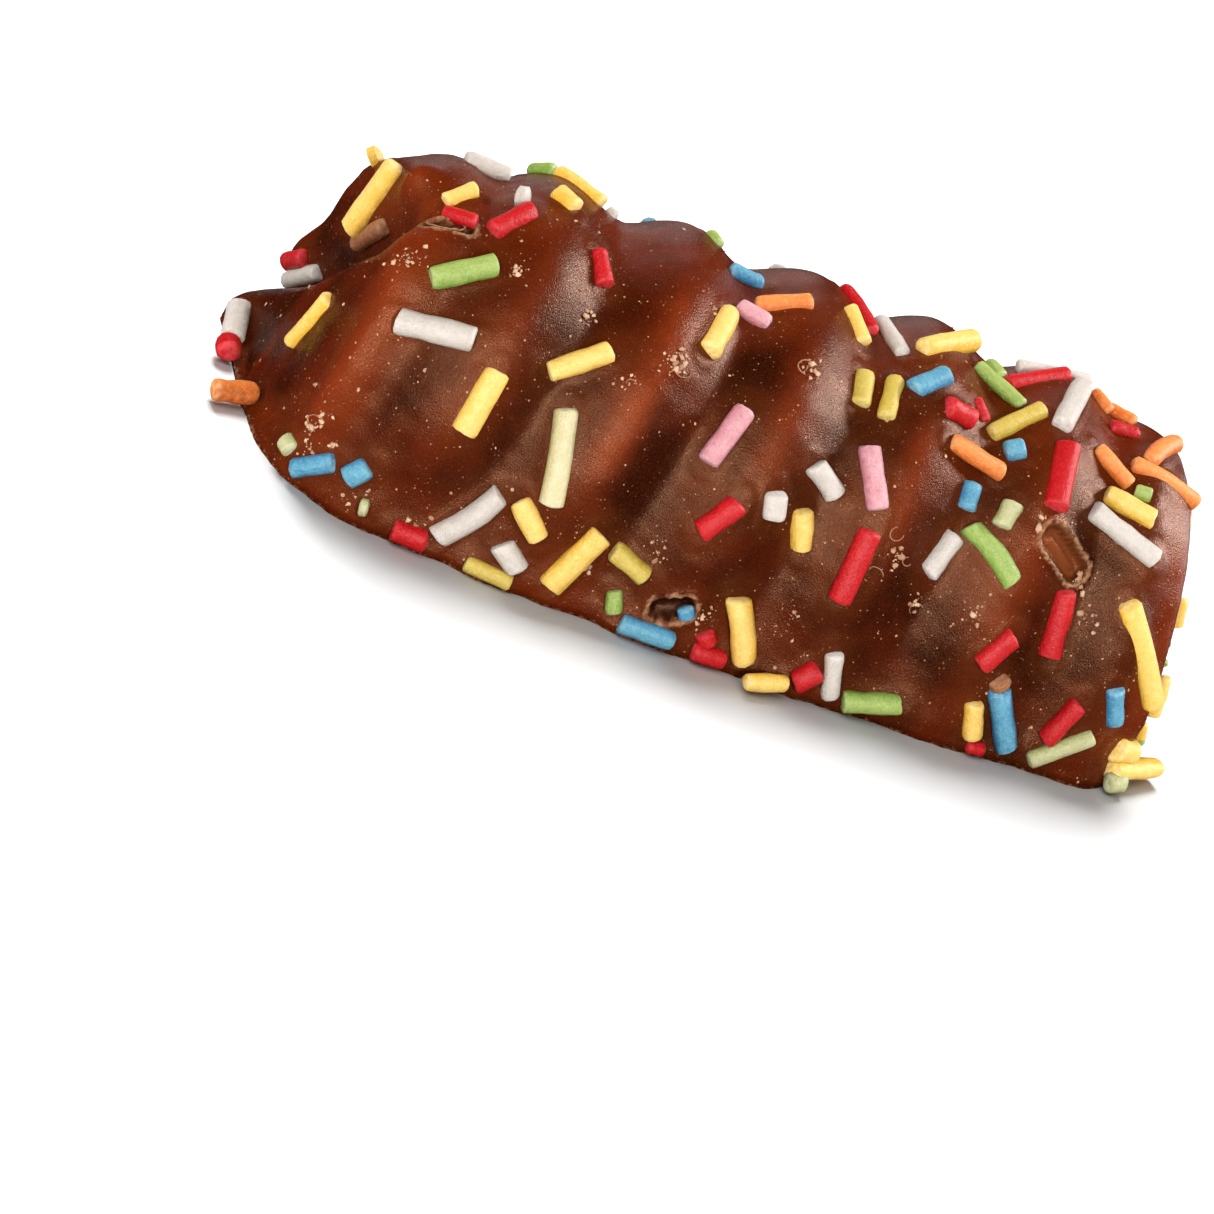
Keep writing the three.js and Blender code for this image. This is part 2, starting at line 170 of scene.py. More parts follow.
# %% [markdown]
# ## Ridges, rims and the folded end
# The foam was twisted, so soft ridges cross the bar at a slant. One end was pinched: a fold parts it into
# two lobes. A displacement texture could draw this, but a height function keeps each ridge, rim and fold
# under its own name, and it is the same one that shapes the solid.

# %% Relief
RIDGE_PITCH, RIDGE_RISE = 9.4, 1.5              # mm from crest to crest, and from furrow to crest
FIRST_CREST, CREST_ANGLE, RIDGE_SLANT = -20.4, 50, 0.04     # mm, at this angle, and mm for each degree
CREST_SHAPE = 0.7                               # a power under 1 gives broad crests and narrow furrows
FURROW_ROUNDING = 0.06                          # keeps the furrows from coming to a sharp line
FOOT_SHARE, FOOT_FADE = 0.25, 24                # of the ridges at the foot, and degrees up to their full rise
RIDGE_END = (25, 29)                            # mm along, where the ridges fade out
RIM_ALONG, RIM_RISE, RIM_HALF_WIDTH, RIM_FADE = 28.3, 0.9, 1.3, (3, 14)
FOOT_FLARE, FOOT_FLARE_ANGLE = 0.6, 11          # mm, and degrees up to where it ends
FOLD_DEPTH, FOLD_HALF_WIDTH = 2.8, 2.1
FOLD_TOP, FOLD_SWING, FOLD_BEND = -2.2, 14.5, 1.5   # y at the top, what y gains down to the floor, a power
FOLD_FROM_HEIGHT = HEIGHT - 1
FOLD_REACH = (21.5, 28)                         # mm from the middle, where the fold sets in
SWELLS = [  # middle, spread, and rise or sink
    ((-29, 8, 3.5), 3.6, 1.5), ((-27, 12, -0.5), 2.6, 2.3), ((-29, -8, 0), 5, -1.3),
    ((-27.5, 8.5, 6.5), 3, -1), ((-26.5, 5, 17), 4, -0.6)]
FLOOR_GAP = 0.12


def crest_phase(along, around):
    """Number of ridges counted from the first crest, which slants by RIDGE_SLANT for each degree."""
    return (along - FIRST_CREST - RIDGE_SLANT * (around - CREST_ANGLE)) / RIDGE_PITCH


def relief(along, around):
    """Height over the loaf: a powered cosine for the ridges, bells for the rims, swells and fold."""
    place = loaf(along, around)
    side = smooth(around, 0, FOOT_FADE) * smooth(180 - around, 0, FOOT_FADE)
    swing = 0.5 + 0.5 * np.cos(2 * np.pi * crest_phase(along, around))
    wave = ((swing + FURROW_ROUNDING) / (1 + FURROW_ROUNDING)) ** CREST_SHAPE - 0.5
    height = RIDGE_RISE * wave * (FOOT_SHARE + (1 - FOOT_SHARE) * side)
    height = height * (1 - smooth(np.abs(along), *RIDGE_END))
    bead = smooth(around, *RIM_FADE) * smooth(180 - around, *RIM_FADE)
    height = height + RIM_RISE * bell(np.abs(along) - RIM_ALONG, RIM_HALF_WIDTH) * bead
    foot = np.minimum(around, 180 - around) / FOOT_FLARE_ANGLE
    height = height + FOOT_FLARE * np.maximum(0, 1 - foot) ** 2
    for middle, spread, rise in SWELLS:
        height = height + rise * bell(np.linalg.norm(place - np.array(middle), axis=-1), spread)
    drop = np.maximum(0, 1 - place[..., 2] / FOLD_FROM_HEIGHT)
    fold_y = FOLD_TOP + FOLD_SWING * drop ** FOLD_BEND
    folded = smooth(-place[..., 0], *FOLD_REACH)
    return height - FOLD_DEPTH * bell(place[..., 1] - fold_y, FOLD_HALF_WIDTH) * folded


def coat(along, around):
    """The finished form: loaf plus outward direction times relief, flat at z = 0 under the feet."""
    along, around = np.broadcast_arrays(np.asarray(along, float), np.asarray(around, float))
    place = loaf(along, around) + outward(along, around) * relief(along, around)[..., None]
    on_foot = (around <= 0) | (around >= 180) | (np.abs(along) >= REACH)
    place[..., 2] = np.where(on_foot, 0, np.maximum(place[..., 2], FLOOR_GAP))
    return place


print("first crest stands at", coat(FIRST_CREST, CREST_ANGLE).round(2))

# %% [markdown]
# ## Where the strands lie
# Sugar strands fall as they like, so no formula gives the ones that show: each is written down as the two
# places of its ends, along in mm and around in degrees. A particle system could scatter them, but then
# none would lie where it should. Up to three more numbers give its width, and lift its ends off the coat.

# %% Strands that show
STRAND_WIDTH = 1.6
SEEN_STRANDS = {
    "yellow": [
        (-32.2, 113, -28.6, 102, 1.7, 0.5, 0.3), (-28.3, 131, -27.8, 129, 1.7, 0.2, 0.2),
        (-35.8, 47, -32.6, 57, 1.3), (-27, 83, -24.8, 88, 1.2), (-20.4, 37.5, -20.5, 22, 1.7),
        (-15.3, 14.5, -13, 9), (-19.6, 92, -18.2, 88, 1.4), (-18.6, 111, -15.2, 103, 1.3),
        (-17.3, 41, -13.9, 52, 1.5), (-6.5, 77, -7.8, 60.5, 1.6), (-11.1, 2, -9.7, 14.5, 1.7),
        (-0.3, 10.5, 2, 0.5, 1.7), (2, 0.5, 4.8, 1, 1.3, 1.6, 0.3), (2.4, 93, 3.5, 84.5, 1.3),
        (7.4, 86, 12, 98, 1.6, 0, 0.4), (1.4, 34, 2.5, 24.5, 1.6), (24.2, 37.5, 28.2, 17.5),
        (16.7, 8.3, 17.5, 2, 1.4), (27, 6.5, 29.2, 5.5, 1.8), (26.8, 2, 31.5, 0.5, 1.5, 0.2, 1.2),
        (31.5, 28, 31.2, 14, 1.5, 0.3, 0.3), (32, 12, 31.8, 6, 1.2), (31.5, 58, 32, 46, 1.4, 0.3, 0.3),
        (21.8, 64, 25.3, 59, 1.5)],
    "pale_yellow": [(-15.3, 36, -13.5, 15.5, 1.6)],
    "olive": [
        (-16.2, 0.5, -13.1, 0.5, 1.1), (-8.7, 12, -5.9, 9.4, 1.5), (3.6, 75, 3.5, 63.5, 1.4),
        (5.7, 75, 5.2, 61, 1.3), (13, 69.5, 16.7, 81.5, 1.3)],
    "white": [
        (-34, 174, -37.3, 179.5, 1.6, 0.3, 0.3), (-29.2, 171, -32.4, 150.5, 1.3, 0.2, 0.2),
        (-27.2, 40, -22.4, 41.5, 1.7), (-25.3, 104, -21.8, 104, 1.3),
        (-22.2, 88, -21.6, 87, 1.6, 0.3, 0.3), (-18.5, 2.5, -16.3, 14), (-15, 6, -13, 3, 1.6),
        (-0.9, 35.5, -0.3, 29, 1.6), (1, 44, 3.4, 38.5, 1.5), (5.6, 101, 6.3, 84.5, 1.2),
        (6.9, 7.8, 7.8, 0.5, 1.3), (12, 40, 10.8, 28.5, 1.5), (15.6, 100, 21.3, 103, 1.2),
        (20, 95, 17.6, 75, 1.5), (20.8, 57.5, 25.7, 49, 1.5), (-14.4, 109, -13.8, 107, 1.1)],
    "pale_green": [
        (-30, 5, -28.6, 4, 1.3), (-23.3, 2.8, -22.9, 3, 1.3, 0.2, 0.2),
        (26.6, 0.5, 27.9, 0.5, 1.4, 0.5, 0.5), (21.4, 0.5, 25.1, 7.4, 1.2), (15.1, 52, 14.5, 44, 1.5)],
    "green": [
        (-26.5, 52.5, -22.8, 62, 1.6), (-19.8, 116, -18.4, 110, 1.4), (-7.4, 106, -6.8, 102, 1.1),
        (-7.3, 5.5, -6.7, 2, 1.2), (8.6, 0.5, 12.4, 2.6, 1.5), (12, 91, 15.5, 82.5, 1.1),
        (13.6, 99, 14.4, 93, 1.3), (12.5, 43, 16.2, 33, 1.5), (23.9, 67, 25, 66, 1.1),
        (32.5, 42, 32.3, 40, 1.1), (32, 34, 31.8, 31, 1.1), (32.5, 9, 32, 4, 1.2)],
    "blue": [
        (-27.9, 1, -25.8, 6, 1.3), (-24.9, 5, -24.1, 9, 1.5), (-6.3, 93, -3.6, 94, 1.1),
        (-6.2, 0.5, -2.6, 0.8, 1.4), (-3, 7.5, -2.5, 5.5, 1.1), (6.6, 71, 9.1, 79, 1.5),
        (14, 65, 15.4, 67, 1.5), (12.3, 54, 12.2, 46, 1.4), (17.8, 10.4, 20, 0.5, 1.6),
        (25.1, 19, 26.2, 11.5, 1.3)],
    "red": [
        (-37.9, 178, -39.4, 178, 1.7, 0.8, 0.8), (-28.6, 170, -30.9, 157.2, 1.3, 0.5, 0.2),
        (-27.1, 79, -24.6, 74.5, 1.1), (-23.7, 72.5, -21.2, 83.5, 1.5), (-16.4, 79.5, -15.4, 69.5, 1.4),
        (-21, 1.5, -18.7, 1.5, 1.5), (-4.5, 21, -2.8, 30.7, 1.6), (-1.2, 4.5, -0.4, 2.5, 1.3),
        (-1.4, 0.5, 0.9, 0.5, 1.3), (3, 109, 4.5, 91, 1.2), (8.9, 69, 11.4, 70, 1.6),
        (11.7, 78.5, 12.7, 73, 0.9), (14.6, 91, 19.2, 99, 1.2), (22.5, 90, 24.8, 90.5, 1),
        (18.2, 71.5, 17.7, 52, 1.7), (15.9, 15, 17.5, 23.5, 1.5), (20.4, 36, 20.7, 19.5, 1.7),
        (17.2, 0.5, 18.5, 0.5, 1), (5.2, 0.5, 6.5, 4, 1.6), (5.9, 34.5, 5.6, 18, 1.6),
        (22.1, 4.6, 23.5, 14, 1.4)],
    "orange": [
        (-35.6, 0.5, -37, 5.6, 1.6, 2.6, 0), (-4.6, 84.5, -0.8, 87, 1.3), (9.8, 61, 14.2, 58.5, 1.3),
        (21.6, 103, 23, 98, 1.1), (23.1, 103, 25, 97, 1.1), (27, 93, 25, 79, 1.3, 0.4, 0),
        (20.8, 76, 23.7, 68.5, 1.2), (23.5, 76, 28.5, 76, 1.2), (29.5, 86, 30.5, 73, 1.2)],
    "pink": [
        (-5.9, 81.5, -3.6, 77.5, 1.2), (-4.3, 51, -5.6, 35, 1.5), (4.4, 54, 6, 38.5, 1.5),
        (31, 74, 31.3, 62, 1.2)],
    "coated": [
        (-32.5, 113, -30.7, 94.5, 1.3), (17.6, 13.5, 18, 12.5, 1.5)],
}
COVERED_STRAND = (-28.9, 91, -27.5, 93, 1.7, -0.2, -0.2)    # wholly under the coat, a bump in it
seen = [(colour, entry) for colour, entries in SEEN_STRANDS.items() for entry in entries]
print("strands that show:", len(seen))

# %% [markdown]
# ## Strands on the side that doesn't show
# The far side has as many strands as the near one. A rule deals them out: it draws a place, a turn, a
# length and a width, and keeps the strand if no other lies too close. The draws come from a small
# generator with a seed, so every run gives the same strands.

# %% Strands dealt out by the rule
HIDDEN_STRANDS = 42
HIDDEN_LENGTHS, HIDDEN_WIDTHS = (2.2, 5.4), (1.3, 1.7)      # mm
HIDDEN_SPACING = 3                              # mm between the middles of two strands
HIDDEN_FROM = 130                               # degrees around, where the far side begins
HIDDEN_ALONG, HIDDEN_END = (-25, 36), (12, 168)     # mm along, and degrees around down the +X end
HIDDEN_TURN, HIDDEN_TRIES = 20, 4000            # degrees around at most to each side of the middle
TIP_ROOM, FOOT_ROOM = 1, 0.5                    # mm off the tips, and degrees off the feet
SEED = 4711
HIDDEN_COLOURS = ["yellow", "red", "white", "green", "blue", "orange", "yellow", "red", "pink", "white",
                  "yellow", "blue", "green", "red", "olive", "white"]


def drawer(seed):
    """Even draws between 0 and 1: each state is 16807 times the last one, modulo 2 to the 31 minus 1."""
    state = seed
    while True:
        state = (state * 16807) % 2147483647
        yield state / 2147483647


def between(limits, share):
    """The number at that share of the way between two limits."""
    return limits[0] + (limits[1] - limits[0]) * share


def hidden_strands(taken):
    """Strands spread over the far side and down the +X end, each HIDDEN_SPACING from all others."""
    draws = drawer(SEED)
    middles = [coat((a0 + a1) / 2, (t0 + t1) / 2) for a0, t0, a1, t1, *_ in taken]
    found = []
    tries = 0
    while len(found) < HIDDEN_STRANDS and tries < HIDDEN_TRIES:
        tries += 1
        along = between(HIDDEN_ALONG, next(draws))
        on_end = along > FLAT + ARC
        angle = between(HIDDEN_END if on_end else (HIDDEN_FROM, 180 - FOOT_ROOM), next(draws))
        turn = np.pi * next(draws)
        length = between(HIDDEN_LENGTHS, next(draws))
        width = between(HIDDEN_WIDTHS, next(draws))
        middle = coat(along, angle)
        if min(np.linalg.norm(other - middle) for other in middles) < HIDDEN_SPACING:
            continue
        per_degree = np.linalg.norm(coat(along, angle + 1) - coat(along, angle - 1)) / 2
        step_along = length / 2 * np.cos(turn)
        step_around = min(length / 2 * np.sin(turn) / per_degree, HIDDEN_TURN)
        ends = []
        for way in (-1, 1):
            ends.append(float(np.clip(along + way * step_along, -REACH + TIP_ROOM, REACH - TIP_ROOM)))
            ends.append(float(np.clip(angle + way * step_around, FOOT_ROOM, 180 - FOOT_ROOM)))
        middles.append(middle)
        found.append((*ends, width))
    return found


hidden = hidden_strands([entry for _, entry in seen] + [COVERED_STRAND])
strands = seen + [(HIDDEN_COLOURS[i % len(HIDDEN_COLOURS)], entry) for i, entry in enumerate(hidden)]
print("strands by the rule:", len(hidden), "in all:", len(strands))

# %% [markdown]
# ## Where each strand's axis runs
# A strand is stiff, so it bridges a furrow and sits on a crest. Its axis goes straight from end to end,
# and is raised by half of what the coat bulges between them, so that it stays about half sunk in.

# %% Axes of the strands
STRAND_SEAT = 0.2


def strand_axis(entry):
    """Start, end, half width and upward direction: ends on the coat, raised by half the bulge between
    them and by STRAND_SEAT half widths, and kept clear of the floor."""
    missing = (STRAND_WIDTH, 0, 0)[len(entry) - 4:]
    a0, t0, a1, t1, width, lift_a, lift_b = (*entry, *missing)
    start = coat(a0, t0) + outward(a0, t0) * lift_a
    end = coat(a1, t1) + outward(a1, t1) * lift_b
    up = outward((a0 + a1) / 2, (t0 + t1) / 2)
    middle = (start + end) / 2
    bow = max(0.0, float((coat((a0 + a1) / 2, (t0 + t1) / 2) - middle) @ up)) / 2
    half = width / 2
    axis = end - start
    length = max(float(np.linalg.norm(axis)), half)
    axis = axis / np.linalg.norm(axis)
    middle = middle + up * (bow + STRAND_SEAT * half)
    middle[2] = max(middle[2], half + FLOOR_GAP + abs(axis[2]) * length / 2)
    return middle - axis * length / 2, middle + axis * length / 2, half, up


axis_list = [strand_axis(entry) for _, entry in strands]
starts, ends, halves, _ = (np.array(column) for column in zip(*axis_list))
strand_lengths = np.linalg.norm(ends - starts, axis=1)
print("strand lengths:", strand_lengths.min().round(1), "to", strand_lengths.max().round(1), "mm")

# %% [markdown]
# ## Fillets round the strands
# Melted chocolate climbs a little up every strand, so a soft fillet surrounds each one. A Boolean union
# with a bevel would leave a hard seam. Here the distance to each strand's axis becomes a height over the
# coat, and a mark: a number from 0 to 1 at each point, which the material reads later.

# %% Fillets
FILLET_RISE, FILLET_REACH = 0.09, 0.28
# closeness also sets where the coat's painted glow lies round each strand
CLOSENESS_REACH = 3 * FILLET_REACH


def segment_distance(points, start, end):
    """Distance to a straight piece: drop each point on the line, and hold the foot between the ends."""
    axis = end - start
    share = np.clip((points - start) @ axis / (axis @ axis), 0, 1)
    return np.linalg.norm(points - start - share[..., None] * axis, axis=-1)


def fillets(points):
    """Height and closeness: a bell of the gap between a point and each strand's side, the most of all."""
    height = np.zeros(points.shape[:-1])
    closeness = np.zeros(points.shape[:-1])
    for start, end, half in zip(starts, ends, halves):
        gap = np.maximum(0, segment_distance(points, start, end) - half)
        height = np.maximum(height, bell(gap, FILLET_REACH))
        closeness = np.maximum(closeness, bell(gap, CLOSENESS_REACH))
    return FILLET_RISE * height, closeness


print("fillets rise", FILLET_RISE, "mm round", len(starts), "strands")

# %% [markdown]
# ## Empty beds
# Three strands fell out and left beds with broken, paler rims. A cutter could be subtracted, but its edge
# would be too clean. Each bed is a trough along a straight line on the coat, with a narrow bell along its
# edge for the rim. Shade is painted into the gap at the foot of each wall, and into two dark insides.

# %% Beds
BEDS = [  # the two ends, width, depth, height of the mound left inside, and how strongly shade is painted inside
    (18.4, 45.8, 20.6, 41.2, 2.0, 1.1, 0.5, 0.0),
    (-27.6, 73.5, -25.4, 72.5, 1.0, 0.7, 0.0, 0.8),
    (-4.2, 5.2, -3, 7.0, 1.5, 0.8, 0.0, 1.0)]
BED_WALL = (0.5, 1.04)                  # shares of the half width between which the wall rises
BED_INSIDE, BED_MOUND = 0.95, 0.55      # the same kind of shares
# the ring inside a bed's wall where shade is painted
BED_GAP, BED_GAP_SPREAD = 0.8, 0.16
BED_RIM, BED_RIM_SPREAD = 0.1, 0.26     # mm outside the half width


def sunk_bed(points, bed):
    """Depth, rim, inside and gap of an empty bed: a steep trough where the distance to its axis is under
    its half width, with a low mound left in the middle, and a narrow bell along its edge."""
    a0, t0, a1, t1, width, depth, mound, _ = bed
    start, end = coat(a0, t0), coat(a1, t1)
    up = outward((a0 + a1) / 2, (t0 + t1) / 2)
    flat = points - (points - start) @ up[:, None] * up
    distance = segment_distance(flat, start, end - (end - start) @ up * up)
    near = np.linalg.norm(points - (start + end) / 2, axis=-1) < width + np.linalg.norm(end - start)
    share = 2 * distance / width
    trough = 1 - smooth(share, *BED_WALL) - mound * bell(share, BED_MOUND)
    rim = bell(distance - width / 2 - BED_RIM, BED_RIM_SPREAD)
    gap = bell(share - BED_GAP, BED_GAP_SPREAD)
    return depth * trough * near, rim * near, (share < BED_INSIDE) * near, gap * near


print("beds:", len(BEDS))

# %% [markdown]
# ## Soft unevenness
# No poured coat is quite even. Blender's noise works in materials and modifiers, but these points are still
# plain numbers, so a few sine waves in random directions are added up instead. The directions come from a
# seed, and every run gives the same waves.

# %% Ripples
RIPPLE_COUNT, RIPPLE_LENGTHS = 7, (0.6, 1.6)    # lengths as shares of the size asked for


def ripples(points, size, seed, count=RIPPLE_COUNT):
    """Between -1 and 1: the mean of sine waves with seeded directions and lengths near size."""
    source = np.random.default_rng(seed)
    directions = source.normal(size=(count, 3))
    directions /= np.linalg.norm(directions, axis=1, keepdims=True)
    lengths = size * source.uniform(*RIPPLE_LENGTHS, count)
    phases = source.uniform(0, 2 * np.pi, count)
    return np.sin(points @ (directions / lengths[:, None]).T * 2 * np.pi + phases).mean(axis=-1)


def waves(points, table):
    """The sum of several ripples, from rows of height, size and seed."""
    return sum(height * ripples(points, size, seed) for height, size, seed in table)


print("ripple at the origin:", ripples(np.zeros((1, 3)), 3.0, 1).round(3))

# %% [markdown]
# ## Where the coat is thin
# On crests and rims the melted coat ran off and is thin and reddish, and in the furrows it is thick and
# dark. Vertex paint could show this on one side. Two marks that follow the form show it all round, and
# stay right when a ridge is moved. The second mark also paints light: it makes the top, both ends and
# the foot lighter.

# %% Thin and warm coat, and painted light
THIN_BANDS = [  # number of the crest, lowest and highest angle, strength
    (0, 45, 72, 0.4), (1, 28, 70, 1.0), (2, 38, 66, 0.55), (3, 38, 60, 0.65), (4, 24, 50, 0.4)]
THIN_RIMS = [  # place along, half width, and the angles over which the band fades in and out
    (-27.9, 1.6, (0, 12), (78, 92)), (29.0, 2.0, (8, 20), (60, 76))]
THIN_HALF_WIDTH, THIN_FADE = 1.1, (12, 4)
THIN_SPOT, SPOT_HALF_WIDTH, SPOT_DEGREE = (-28.2, 92.0), 0.9, 0.24      # over the covered strand
WARM_CREST, WARM_HALF_WIDTH = 0.35, 2.2
# painted light: the coat is made lighter on the top, along the foot, most at the left, and at both ends
PAINTED_TOP_LIGHT, PAINTED_TOP_LIGHT_FADE = 0.75, (60, 84)
PAINTED_FOOT_LIGHT, PAINTED_FOOT_LIGHT_LOSS, PAINTED_FOOT_LIGHT_ALONG, PAINTED_FOOT_LIGHT_FADE = 0.6, 0.5, (-10, 5), (4, 18)
PAINTED_END_LIGHT, PAINTED_END_LIGHT_ALONG, PAINTED_END_LIGHT_HALF_WIDTH = 0.8, 28.5, 3.0


def thin_coat(along, around):
    """1 where the coat is thin: bells across the crests and rims, held between two angles."""
    phase = crest_phase(along, around)
    folded = np.minimum(around, 180 - around)
    mark = bell(np.hypot(along - THIN_SPOT[0], (around - THIN_SPOT[1]) * SPOT_DEGREE), SPOT_HALF_WIDTH)
    for crest, low, high, strength in THIN_BANDS:
        window = smooth(folded, low - THIN_FADE[0], low + THIN_FADE[1])
        window = window * (1 - smooth(folded, high - THIN_FADE[1], high + THIN_FADE[0]))
        mark = np.maximum(mark, strength * bell((phase - crest) * RIDGE_PITCH, THIN_HALF_WIDTH) * window)
    for middle, spread, fade_in, fade_out in THIN_RIMS:
        window = smooth(around, *fade_in) * (1 - smooth(around, *fade_out))
        mark = np.maximum(mark, bell(along - middle, spread) * window)
    return mark


def warm_coat_and_painted_light(along, around):
    """Near 1 where the coat is medium thick, at wide bells on every crest, and painted light: high at both
    ends, on the top and at the foot.
    """
    phase = crest_phase(along, around)
    folded = np.minimum(around, 180 - around)
    crests = WARM_CREST * bell((phase - np.round(phase)) * RIDGE_PITCH, WARM_HALF_WIDTH)
    # the next three are painted light: lighter on the top, along the foot and at both ends
    top = PAINTED_TOP_LIGHT * smooth(folded, *PAINTED_TOP_LIGHT_FADE)
    foot = PAINTED_FOOT_LIGHT - PAINTED_FOOT_LIGHT_LOSS * smooth(along, *PAINTED_FOOT_LIGHT_ALONG)
    foot = foot * (1 - smooth(folded, *PAINTED_FOOT_LIGHT_FADE))
    tips = PAINTED_END_LIGHT * bell(np.abs(along) - PAINTED_END_LIGHT_ALONG, PAINTED_END_LIGHT_HALF_WIDTH)
    return np.maximum.reduce([crests, top, foot, tips])


print("thin on the second crest:", thin_coat(FIRST_CREST + RIDGE_PITCH, 50.0).round(2))

# %% [markdown]
# ## The points of the coat
# The coat is one closed grid, fine enough that each fillet is a few cells wide. Multiresolution sculpting
# could give this too, but here the fillets, beds and waves are heights that are simply added up, and each
# point is moved straight out by their sum.

# %% Coat points
COAT_ROWS, COAT_COLUMNS = 420, 210
COAT_WAVES = [(0.09, 5.0, 3), (0.05, 1.7, 4)]       # height, size and seed
FOOT_WAVES = [(0.22, 2.6, 6), (0.12, 0.9, 7)]
FOOT_WAVE_ANGLE, FOOT_EDGE = 3.0, 0.35
RIM_HEIGHT, RIM_SHARE, RIM_RAGGED = 0.2, 0.55, 0.72
RIM_RIPPLES = (0.5, 5, 12)                          # size, seed and count
# how dark the shade painted into a bed's gap is
PAINTED_GAP_SHADE = 0.7
BUMP_RISE, BUMP_SPREAD = 0.55, 0.9
LEAST_HEIGHT = 0.02                                 # of every point off the floor


def with_beds(points, height, marks):
    """Sinks the beds with ragged rims, notes rim and bottom as marks, and notes painted shade for the gap and
    the dark insides.
    """
    for bed in BEDS:
        depth, rim, inside, gap = sunk_bed(points, bed)
        ragged = rim * (RIM_SHARE + RIM_RAGGED * ripples(points, *RIM_RIPPLES))
        height = np.where(inside > 0, 0, height) - depth + RIM_HEIGHT * ragged
        # painted shade: the dark insides, and the gap at the foot of each wall
        dark = np.maximum(inside * bed[-1], PAINTED_GAP_SHADE * gap)
        for name, value in (("rim", ragged), ("bed", inside * (1 - bed[-1])), ("painted_bed_shade", dark)):
            marks[name] = np.maximum(marks.get(name, 0.0), value)
    return height


def coat_points():
    """Rows along and columns around: the form plus outward direction times the summed heights, with the
    foot swayed sideways, and the marks of every point."""
    along = np.linspace(-REACH, REACH, COAT_ROWS + 1)[:, None]
    around = np.linspace(0, 180, COAT_COLUMNS + 1)[None, :]
    along, around = np.broadcast_arrays(along, around)
    base = coat(along, around)
    direction = outward(along, around)
    rise, closeness = fillets(base)
    marks = {"closeness": closeness}
    height = with_beds(base, rise + waves(base, COAT_WAVES), marks)
    bump_start, bump_end, bump_half, _ = strand_axis(COVERED_STRAND)
    height = height + BUMP_RISE * bell(segment_distance(base, bump_start, bump_end), BUMP_SPREAD * bump_half)
    places = base + direction * height[..., None]
    sway = waves(base, FOOT_WAVES) * bell(np.minimum(around, 180 - around), FOOT_WAVE_ANGLE)
    places += direction * [1, 1, 0] * sway[..., None]
    on_foot = (around <= 0) | (around >= 180) | (np.abs(along) >= REACH)
    places[..., 2] = np.where(on_foot, 0, np.maximum(places[..., 2], LEAST_HEIGHT))
    marks["foot"] = bell(places[..., 2], FOOT_EDGE)
    marks["thin"] = thin_coat(along, around)
    # a mark of the medium thick coat and of painted light
    marks["warm_and_painted_light"] = warm_coat_and_painted_light(along, around)
    return places, marks


coat_places, coat_marks = coat_points()
print("coat grid:", coat_places.shape[:2], "marks:", sorted(coat_marks))

# %% [markdown]
# ## From numbers to an object
# Each piece of this lesson becomes a mesh in the same way: points, faces and marks go in as whole lists.
# Building them one by one with bmesh would be slower. The two tips of the coat are single points, and long
# faces under the bar join the near foot to the far one.

# %% Coat piece
def coat_faces(rows, columns):
    """Four corners for each cell, three at the tips, and the underside between the two feet."""
    index = np.zeros((rows + 1, columns + 1), int)
    index[1:-1] = 1 + np.arange((rows - 1) * (columns + 1)).reshape(rows - 1, columns + 1)
    index[-1] = 1 + (rows - 1) * (columns + 1)
    body = index[1:-1]
    quads = np.stack([body[:-1, :-1], body[1:, :-1], body[1:, 1:], body[:-1, 1:]], axis=-1).reshape(-1, 4)
    under = np.stack([body[:-1, 0], body[:-1, -1], body[1:, -1], body[1:, 0]], axis=-1)
    first = np.stack([index[0, :-1], index[1, :-1], index[1, 1:]], axis=-1)
    last = np.stack([index[-2, :-1], index[-1, :-1], index[-2, 1:]], axis=-1)
    tips = np.array([[0, index[1, -1], index[1, 0]], [index[-1, 0], index[-2, 0], index[-2, -1]]])
    return [face for part in (quads, under, first, last, tips) for face in part.tolist()]


def flatten_tips(values):
    """One value for each tip, and all the others in rows."""
    return np.concatenate([values[:1, 0], values[1:-1].reshape(-1, *values.shape[2:]), values[-1:, 0]])


def new_piece(name, points, faces, marks):
    """A mesh object at the origin, from points in mm, with one number for each point under each mark."""
    mesh = bpy.data.meshes.new(name)
    mesh.from_pydata((points * MM).tolist(), [], faces)
    for mark, values in marks.items():
        layer = mesh.attributes.new(mark, "FLOAT", "POINT")
        layer.data.foreach_set("value", np.asarray(values, np.float32).ravel())
    mesh.polygons.foreach_set("use_smooth", np.ones(len(mesh.polygons), bool))
    mesh.update()
    piece = bpy.data.objects.new(name, mesh)
    scene.collection.objects.link(piece)
    return piece


coat_piece = new_piece("chocolate_coat", flatten_tips(coat_places), coat_faces(COAT_ROWS, COAT_COLUMNS),
                       {name: flatten_tips(values) for name, values in coat_marks.items()})
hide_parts("foam_bar")
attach(coat_piece, "root")
print("coat:", len(coat_piece.data.vertices), "points")

# %% [markdown]
# ## The form of a strand
# A sugar strand is pressed out as a thin cord and broken to length, so it is a lumpy rod with blunt,
# crumbly ends. Cylinders with a bevel would look turned. Here rings are set along each axis, closer at the
# ends where the edge is rounded off, and slow waves change their radius.

